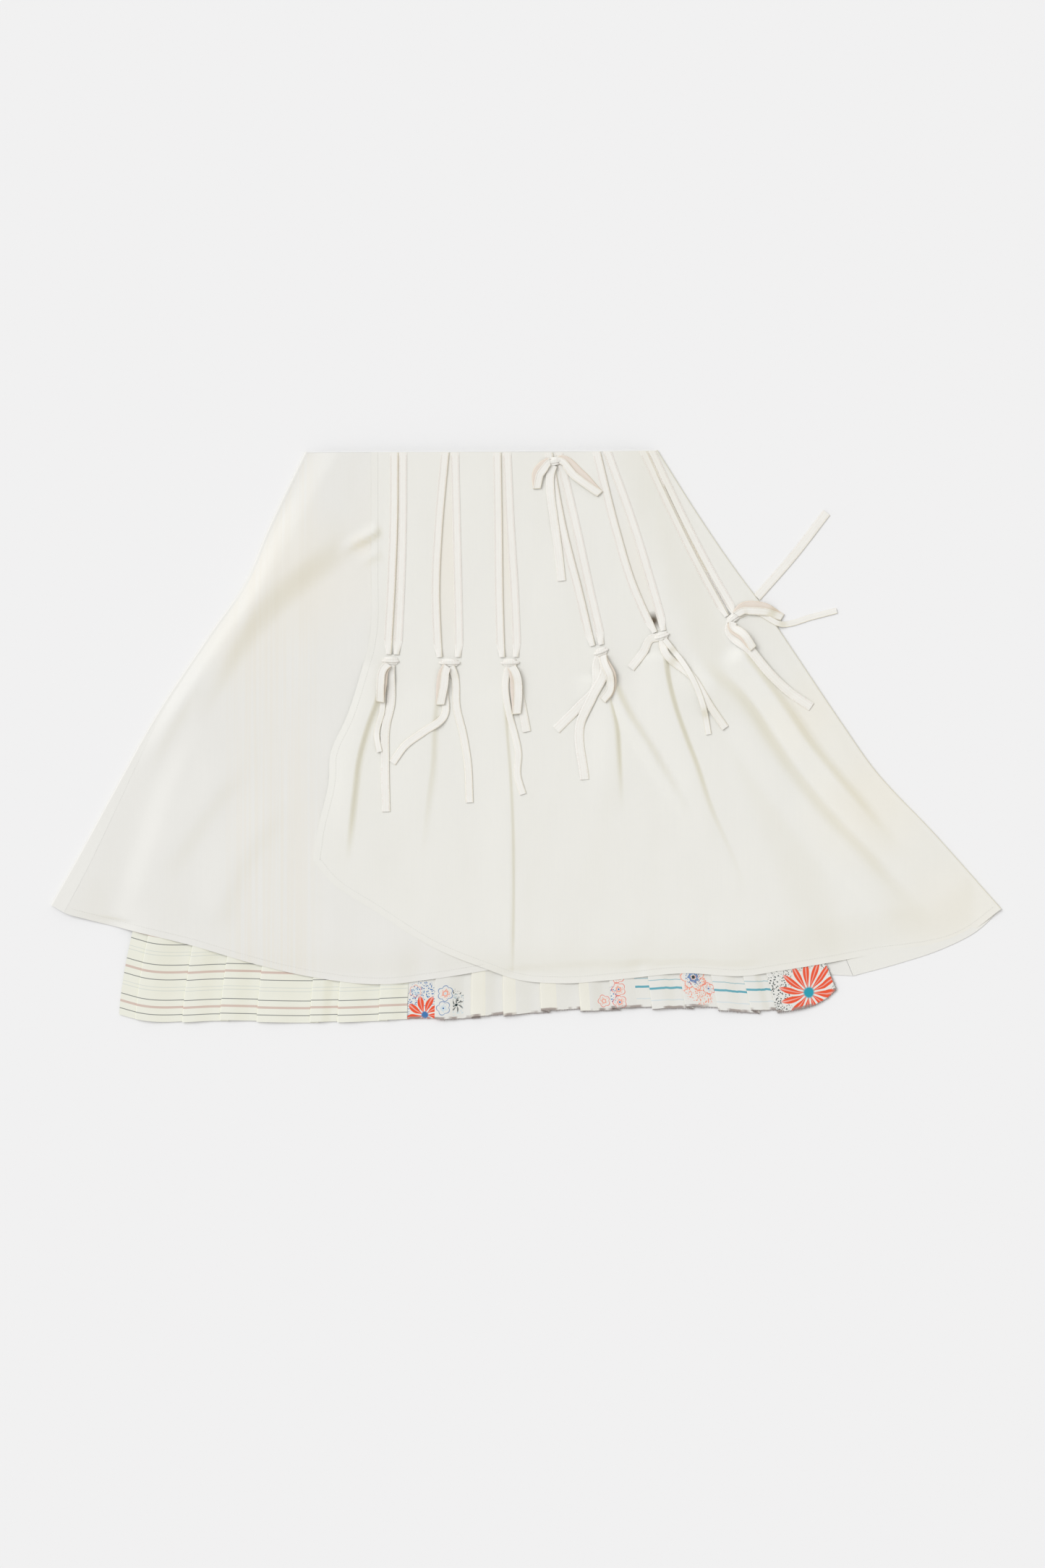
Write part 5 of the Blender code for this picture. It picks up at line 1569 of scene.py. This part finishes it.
def yarn_rows(name, node, slot, material, lines, **inputs):
    """Plain mesh of short pieces of yarn along lines given in millimetres."""
    points = np.concatenate(lines)
    edges = []
    count = 0
    for line in lines:
        edges.extend((count + index, count + index + 1) for index in range(len(line) - 1))
        count += len(line)
    mesh = bpy.data.meshes.new(name)
    mesh.from_pydata([tuple(point) for point in (points - CENTRE) * MM], edges, [])
    piece = bpy.data.objects.new(name, mesh)
    bpy.context.scene.collection.objects.link(piece)
    tree = shared(yarn_tree)
    modifier = piece.modifiers.new("yarn", "NODES")
    modifier.node_group = tree
    inputs["Material"] = material
    for item in tree.interface.items_tree:
        if item.in_out == "INPUT" and item.name in inputs:
            modifier[item.identifier] = inputs[item.name]
    bpy.context.view_layer.update()
    evaluated = piece.evaluated_get(bpy.context.evaluated_depsgraph_get())
    plain = bpy.data.meshes.new_from_object(evaluated)
    piece.modifiers.clear()
    piece.data = plain
    return dress(piece, node, material)


def thread():
    """Sewing thread."""
    return flat_colour("thread", colour("thread"), 0.6)


def hem_thread():
    """Thread of the hems, nearly the colour of the cloth."""
    return flat_colour("hem_thread", shade_of(colour("ivory"), 0.86), 0.6)


def loose_yarn():
    """Yarn ends of the raw hem."""
    return flat_colour("loose_yarn", colour("fray"))


def on_top(places, lift=0.1):
    """Points that lie on the surface below them."""
    return np.array([(x, y, height_below(x, y) + lift) for x, y in places])


def inside_line(points, inset, shares):
    """Line at a distance to the left of a row of points, at shares of its length."""
    line = along(line_through(points), shares)
    return line + directions(line)[1] * inset


class SKIRT_OT_stage(bpy.types.Operator):
    """Camera, floor, light and view"""

    bl_idname = "skirt.stage"
    bl_label = "Stage"

    def execute(self, context):
        scene = context.scene
        lens = bpy.data.cameras.new("camera")
        lens.type = "PERSP"
        lens.sensor_fit = "VERTICAL"
        lens.sensor_height = SENSOR
        lens.lens = SENSOR * (CAMERA_HEIGHT - CLOTH_TOP) / FRAME_HEIGHT
        lens.clip_end = 50.0
        camera = bpy.data.objects.new("camera", lens)
        camera.location = (*FRAME_CENTRE, CAMERA_HEIGHT)
        scene.collection.objects.link(camera)
        scene.camera = camera
        signs = ((-1, -1), (1, -1), (1, 1), (-1, 1))
        corners = [(x * FLOOR_HALF, y * FLOOR_HALF, FLOOR_Z) for x, y in signs]
        floor = new_piece("floor", corners, [(0, 1, 2, 3)])
        floor.data.materials.append(flat_colour("floor", FLOOR_COLOUR))
        lamp = bpy.data.lights.new("key", "SUN")
        lamp.energy = SUN_STRENGTH
        lamp.color = SUN_COLOUR
        lamp.angle = math.radians(SUN_SPREAD)
        key = bpy.data.objects.new("key", lamp)
        key.rotation_euler = Vector(SUN_FROM).to_track_quat("Z", "Y").to_euler()
        scene.collection.objects.link(key)
        world = bpy.data.worlds.new("studio")
        scene.world = world
        world.use_nodes = True
        background = world.node_tree.nodes["Background"]
        background.inputs["Color"].default_value = WORLD_COLOUR
        background.inputs["Strength"].default_value = WORLD_STRENGTH
        scene.view_settings.view_transform = "Standard"
        return {"FINISHED"}


class SKIRT_OT_back_panel(bpy.types.Operator):
    """Back panel, flat on the floor and folded round the left side"""

    bl_idname = "skirt.back_panel"
    bl_label = "Back Panel"

    def execute(self, context):
        grid, coords = back_panel_grid()
        piece = wall("back_panel_cloth", grid, coords, hem_band(grid))
        dress(piece, "back_panel", shared(ivory_cloth))
        return {"FINISHED"}


class SKIRT_OT_underskirt_back(bpy.types.Operator):
    """Plain back of the underskirt"""

    bl_idname = "skirt.underskirt_back"
    bl_label = "Underskirt Back"

    def execute(self, context):
        grid = underskirt_back_grid()
        hem = grid[-1:, :, 1]
        coords = np.stack([grid[:, :, 0], grid[:, :, 1] - hem], axis=2)
        piece = wall("underskirt_back_cloth", grid, coords, size("cloth_wall"))
        striped = shared(shirt_cloth)
        dress(piece, "underskirt_back", striped)
        return {"FINISHED"}


class SKIRT_OT_striped(bpy.types.Operator):
    """Knife-pleated striped piece of the underskirt"""

    bl_idname = "skirt.striped"
    bl_label = "Striped Pleats"

    def execute(self, context):
        start, end = UNDERSKIRT_HEM_ENDS[0], UNDERSKIRT_SEAM - GAP
        grid, coords, _, _ = pleated_grid(start, end, STRIPE_PLEATS, False)
        piece = wall("striped_pleats", grid, coords, hem_band(grid))
        striped = shared(shirt_cloth)
        dress(piece, "underskirt_striped", striped)
        return {"FINISHED"}


class SKIRT_OT_printed(bpy.types.Operator):
    """Knife-pleated printed piece of the underskirt"""

    bl_idname = "skirt.printed"
    bl_label = "Printed Pleats"

    def execute(self, context):
        grid, coords, face, unfolded = pleated_grid(
            UNDERSKIRT_SEAM, UNDERSKIRT_HEM_ENDS[1], PRINT_PLEATS, True)
        columns = patch_columns(grid[-1, :, 0], face)
        slots = np.broadcast_to(columns[None, :-1], (grid.shape[0] - 1, grid.shape[1] - 1))
        piece = wall("printed_pleats", grid, coords, size("cloth_wall"), slots=slots)
        for made in print_materials(grid[-1, :, 0], face, unfolded):
            piece.data.materials.append(made)
        dress(piece, "underskirt_printed", None)
        return {"FINISHED"}


class SKIRT_OT_under_panel(bpy.types.Operator):
    """Front under panel"""

    bl_idname = "skirt.under_panel"
    bl_label = "Under Panel"

    def execute(self, context):
        grid = under_panel_grid()
        piece = wall("under_panel_cloth", grid, grid[:, :, :2], hem_band(grid))
        dress(piece, "front_under_panel", shared(under_cloth))
        return {"FINISHED"}


class SKIRT_OT_over_panel(bpy.types.Operator):
    """Front over panel with its six slits"""

    bl_idname = "skirt.over_panel"
    bl_label = "Over Panel"

    def execute(self, context):
        grid, coords, cells, thickness = over_panel_grid()
        piece = wall("over_panel_cloth", grid, coords, thickness, cells)
        dress(piece, "front_over_panel", shared(over_cloth))
        return {"FINISHED"}


def lay_tape(name, node, grid, inner=None):
    """Finished tape along a grid."""
    width = size("tape_width") * MM
    piece = wall(name, grid, ribbon_coords(grid), tape_thickness(len(grid)), inner=inner)
    return dress(piece, node, shared(tape_cloth))


class SKIRT_OT_slit_tapes(bpy.types.Operator):
    """Tapes sewn along both edges of each slit"""

    bl_idname = "skirt.slit_tapes"
    bl_label = "Slit Tapes"

    def execute(self, context):
        for number, slit in enumerate(SLITS, start=1):
            for side, label in SIDES:
                node = f"slit_tape_{number}_{label}"
                lay_tape(f"tape_{number}_{label}", node, slit_tape_grid(slit, side))
        return {"FINISHED"}


class SKIRT_OT_back_tie(bpy.types.Operator):
    """Tie that comes out from the back on to the floor"""

    bl_idname = "skirt.back_tie"
    bl_label = "Back Tie"

    def execute(self, context):
        outline = line_through(RIGHT_OUTLINE_ABOVE)
        side = outline[np.argmin(np.abs(outline[:, 1] - BACK_TIE_Y))]
        end = np.array(BACK_TIE_END, float)
        ahead = (end - side) / np.linalg.norm(end - side)
        route = (side + ahead * BACK_TIE_CLEAR, (side + end) / 2 + np.array([1.5, -1.0]), end)
        lay_tape("back_tie_tape", "back_tie", tail_grid(route, 9.0, 40.0, on_floor=True))
        return {"FINISHED"}


class SKIRT_OT_tails(bpy.types.Operator):
    """Loose ends of the ties"""

    bl_idname = "skirt.tails"
    bl_label = "Tie Ends"

    def execute(self, context):
        for number, (node, route, visible) in enumerate(TAILS):
            lay_tape(f"{node}_tape", node, tail_grid(from_knot(route), visible, number * 3.7))
        return {"FINISHED"}


class SKIRT_OT_loops(bpy.types.Operator):
    """Loops of the bows"""

    bl_idname = "skirt.loops"
    bl_label = "Loops"

    def execute(self, context):
        for node, route, visible, shift in LOOPS:
            grid = loop_grid(from_knot(route), visible, shift)
            lay_tape(f"{node}_tape", node, grid, loop_shade_rows(len(grid)))
        return {"FINISHED"}


class SKIRT_OT_knots(bpy.types.Operator):
    """Knots at the feet of the slits and at the waist"""

    bl_idname = "skirt.knots"
    bl_label = "Knots"

    def execute(self, context):
        for number, (node, centre, direction, half_width) in enumerate(KNOTS):
            points, faces = knot_points(centre, direction, half_width, 1.3 * number)
            piece = new_piece(f"{node}_tape", (points - CENTRE) * MM, faces)
            uv = np.stack([points[:, 0] - centre[0], points[:, 1] - centre[1]], axis=1) * MM
            layer = piece.data.uv_layers.new(name="cloth")
            loops = np.zeros(len(piece.data.loops), int)
            piece.data.loops.foreach_get("vertex_index", loops)
            layer.data.foreach_set("uv", uv[loops].ravel())
            dress(piece, node, shared(tape_cloth))
        return {"FINISHED"}


class SKIRT_OT_stitches(bpy.types.Operator):
    """Hem seams and the sewing along the slit tapes"""

    bl_idname = "skirt.stitches"
    bl_label = "Stitches"

    def execute(self, context):
        straight = {
            "Spacing": STITCH_SPACING * MM, "Length": size("stitch_length") * MM,
            "Width": size("thread_width") * MM,
        }
        thick = size("thread_width") * 0.2
        wide = size("hem_width") - 1.0
        shares = np.linspace(0.004, 0.992, 400)
        over = [
            on_top(inside_line(OVER_HEM, wide, shares), thick),
            on_top(inside_line(OVER_EDGE_BELOW, wide, shares), thick),
            on_top(inside_line(OVER_EDGE_ABOVE, wide, shares), thick),
        ]
        yarn_rows(
            "over_panel_stitches", "front_over_panel", "ivory_cloth", shared(hem_thread), over, **straight)
        shown = np.linspace(0.01, 0.62, 300)
        under = [on_top(inside_line(UNDER_HEM, wide, shown), thick)]
        yarn_rows(
            "under_panel_stitches", "front_under_panel", "ivory_cloth", shared(hem_thread), under, **straight)
        zigzag = dict(straight, Spacing=ZIGZAG_SPACING * MM, Slant=math.radians(50))
        for number, slit in enumerate(SLITS, start=1):
            for side, label in SIDES:
                edge = line_through(slit[label])
                lines = []
                clear = slit.get("clear", TAPE_CLEAR)
                for reach in (clear + 0.9, clear + SLIT_TAPE_SHOWN - 0.9):
                    shifted = along(edge, np.linspace(0.02, 0.93, 120))
                    shifted = shifted + directions(shifted)[1] * reach * side
                    lines.append(on_top(shifted, thick))
                node = f"slit_tape_{number}_{label}"
                yarn_rows(
                    f"tape_stitches_{number}_{label}", node, "twill_tape", shared(thread), lines, **zigzag)
        return {"FINISHED"}


class SKIRT_OT_fray(bpy.types.Operator):
    """Loose yarn ends along the raw hem of the printed pleats"""

    bl_idname = "skirt.fray"
    bl_label = "Fray"

    def execute(self, context):
        grid, _, _, _ = pleated_grid(UNDERSKIRT_SEAM, UNDERSKIRT_HEM_ENDS[1], PRINT_PLEATS, True)
        hem = grid[-1]
        start = np.searchsorted(hem[:, 0], -95.0)
        lines = [hem[start:], grid[-12:, -1] + np.array([0.2, 0.0, 0.0])]
        yarn_rows(
            "raw_hem", "underskirt_printed", "printed_cloth", shared(loose_yarn), lines,
            Spacing=FRAY_SPACING * MM, Length=2.6 * MM, Width=0.22 * MM,
            Turn=math.radians(90), Scatter=1.2)
        return {"FINISHED"}


STAGE_STEPS = (
    SKIRT_OT_stage, SKIRT_OT_back_panel, SKIRT_OT_underskirt_back, SKIRT_OT_striped,
    SKIRT_OT_printed, SKIRT_OT_under_panel, SKIRT_OT_over_panel, SKIRT_OT_slit_tapes,
    SKIRT_OT_stitches, SKIRT_OT_fray, SKIRT_OT_back_tie, SKIRT_OT_tails, SKIRT_OT_loops,
    SKIRT_OT_knots,
)


class SKIRT_PT_panel(bpy.types.Panel):
    """Buttons for every step, in order"""

    bl_idname = "SKIRT_PT_panel"
    bl_label = "Wrap Skirt"
    bl_space_type = "VIEW_3D"
    bl_region_type = "UI"
    bl_category = "Skirt"

    def draw(self, context):
        layout = self.layout
        for group in (context.scene.skirt_sizes, context.scene.skirt_colours):
            for name in group.__annotations__:
                layout.prop(group, name)
        for step in STAGE_STEPS:
            layout.operator(step.bl_idname)


CLASSES = (SkirtSizes, SkirtColours, *STAGE_STEPS, SKIRT_PT_panel)


def register():
    """Add the classes and the two groups of properties."""
    for item in CLASSES:
        bpy.utils.register_class(item)
    bpy.types.Scene.skirt_sizes = bpy.props.PointerProperty(type=SkirtSizes)
    bpy.types.Scene.skirt_colours = bpy.props.PointerProperty(type=SkirtColours)


def unregister():
    """Take the classes and the groups away again."""
    del bpy.types.Scene.skirt_colours
    del bpy.types.Scene.skirt_sizes
    for item in reversed(CLASSES):
        bpy.utils.unregister_class(item)


def main():
    """Register the add-on and make everything in order."""
    register()
    for step in STAGE_STEPS:
        group, name = step.bl_idname.split(".")
        getattr(getattr(bpy.ops, group), name)()


if __name__ == "__main__":
    main()
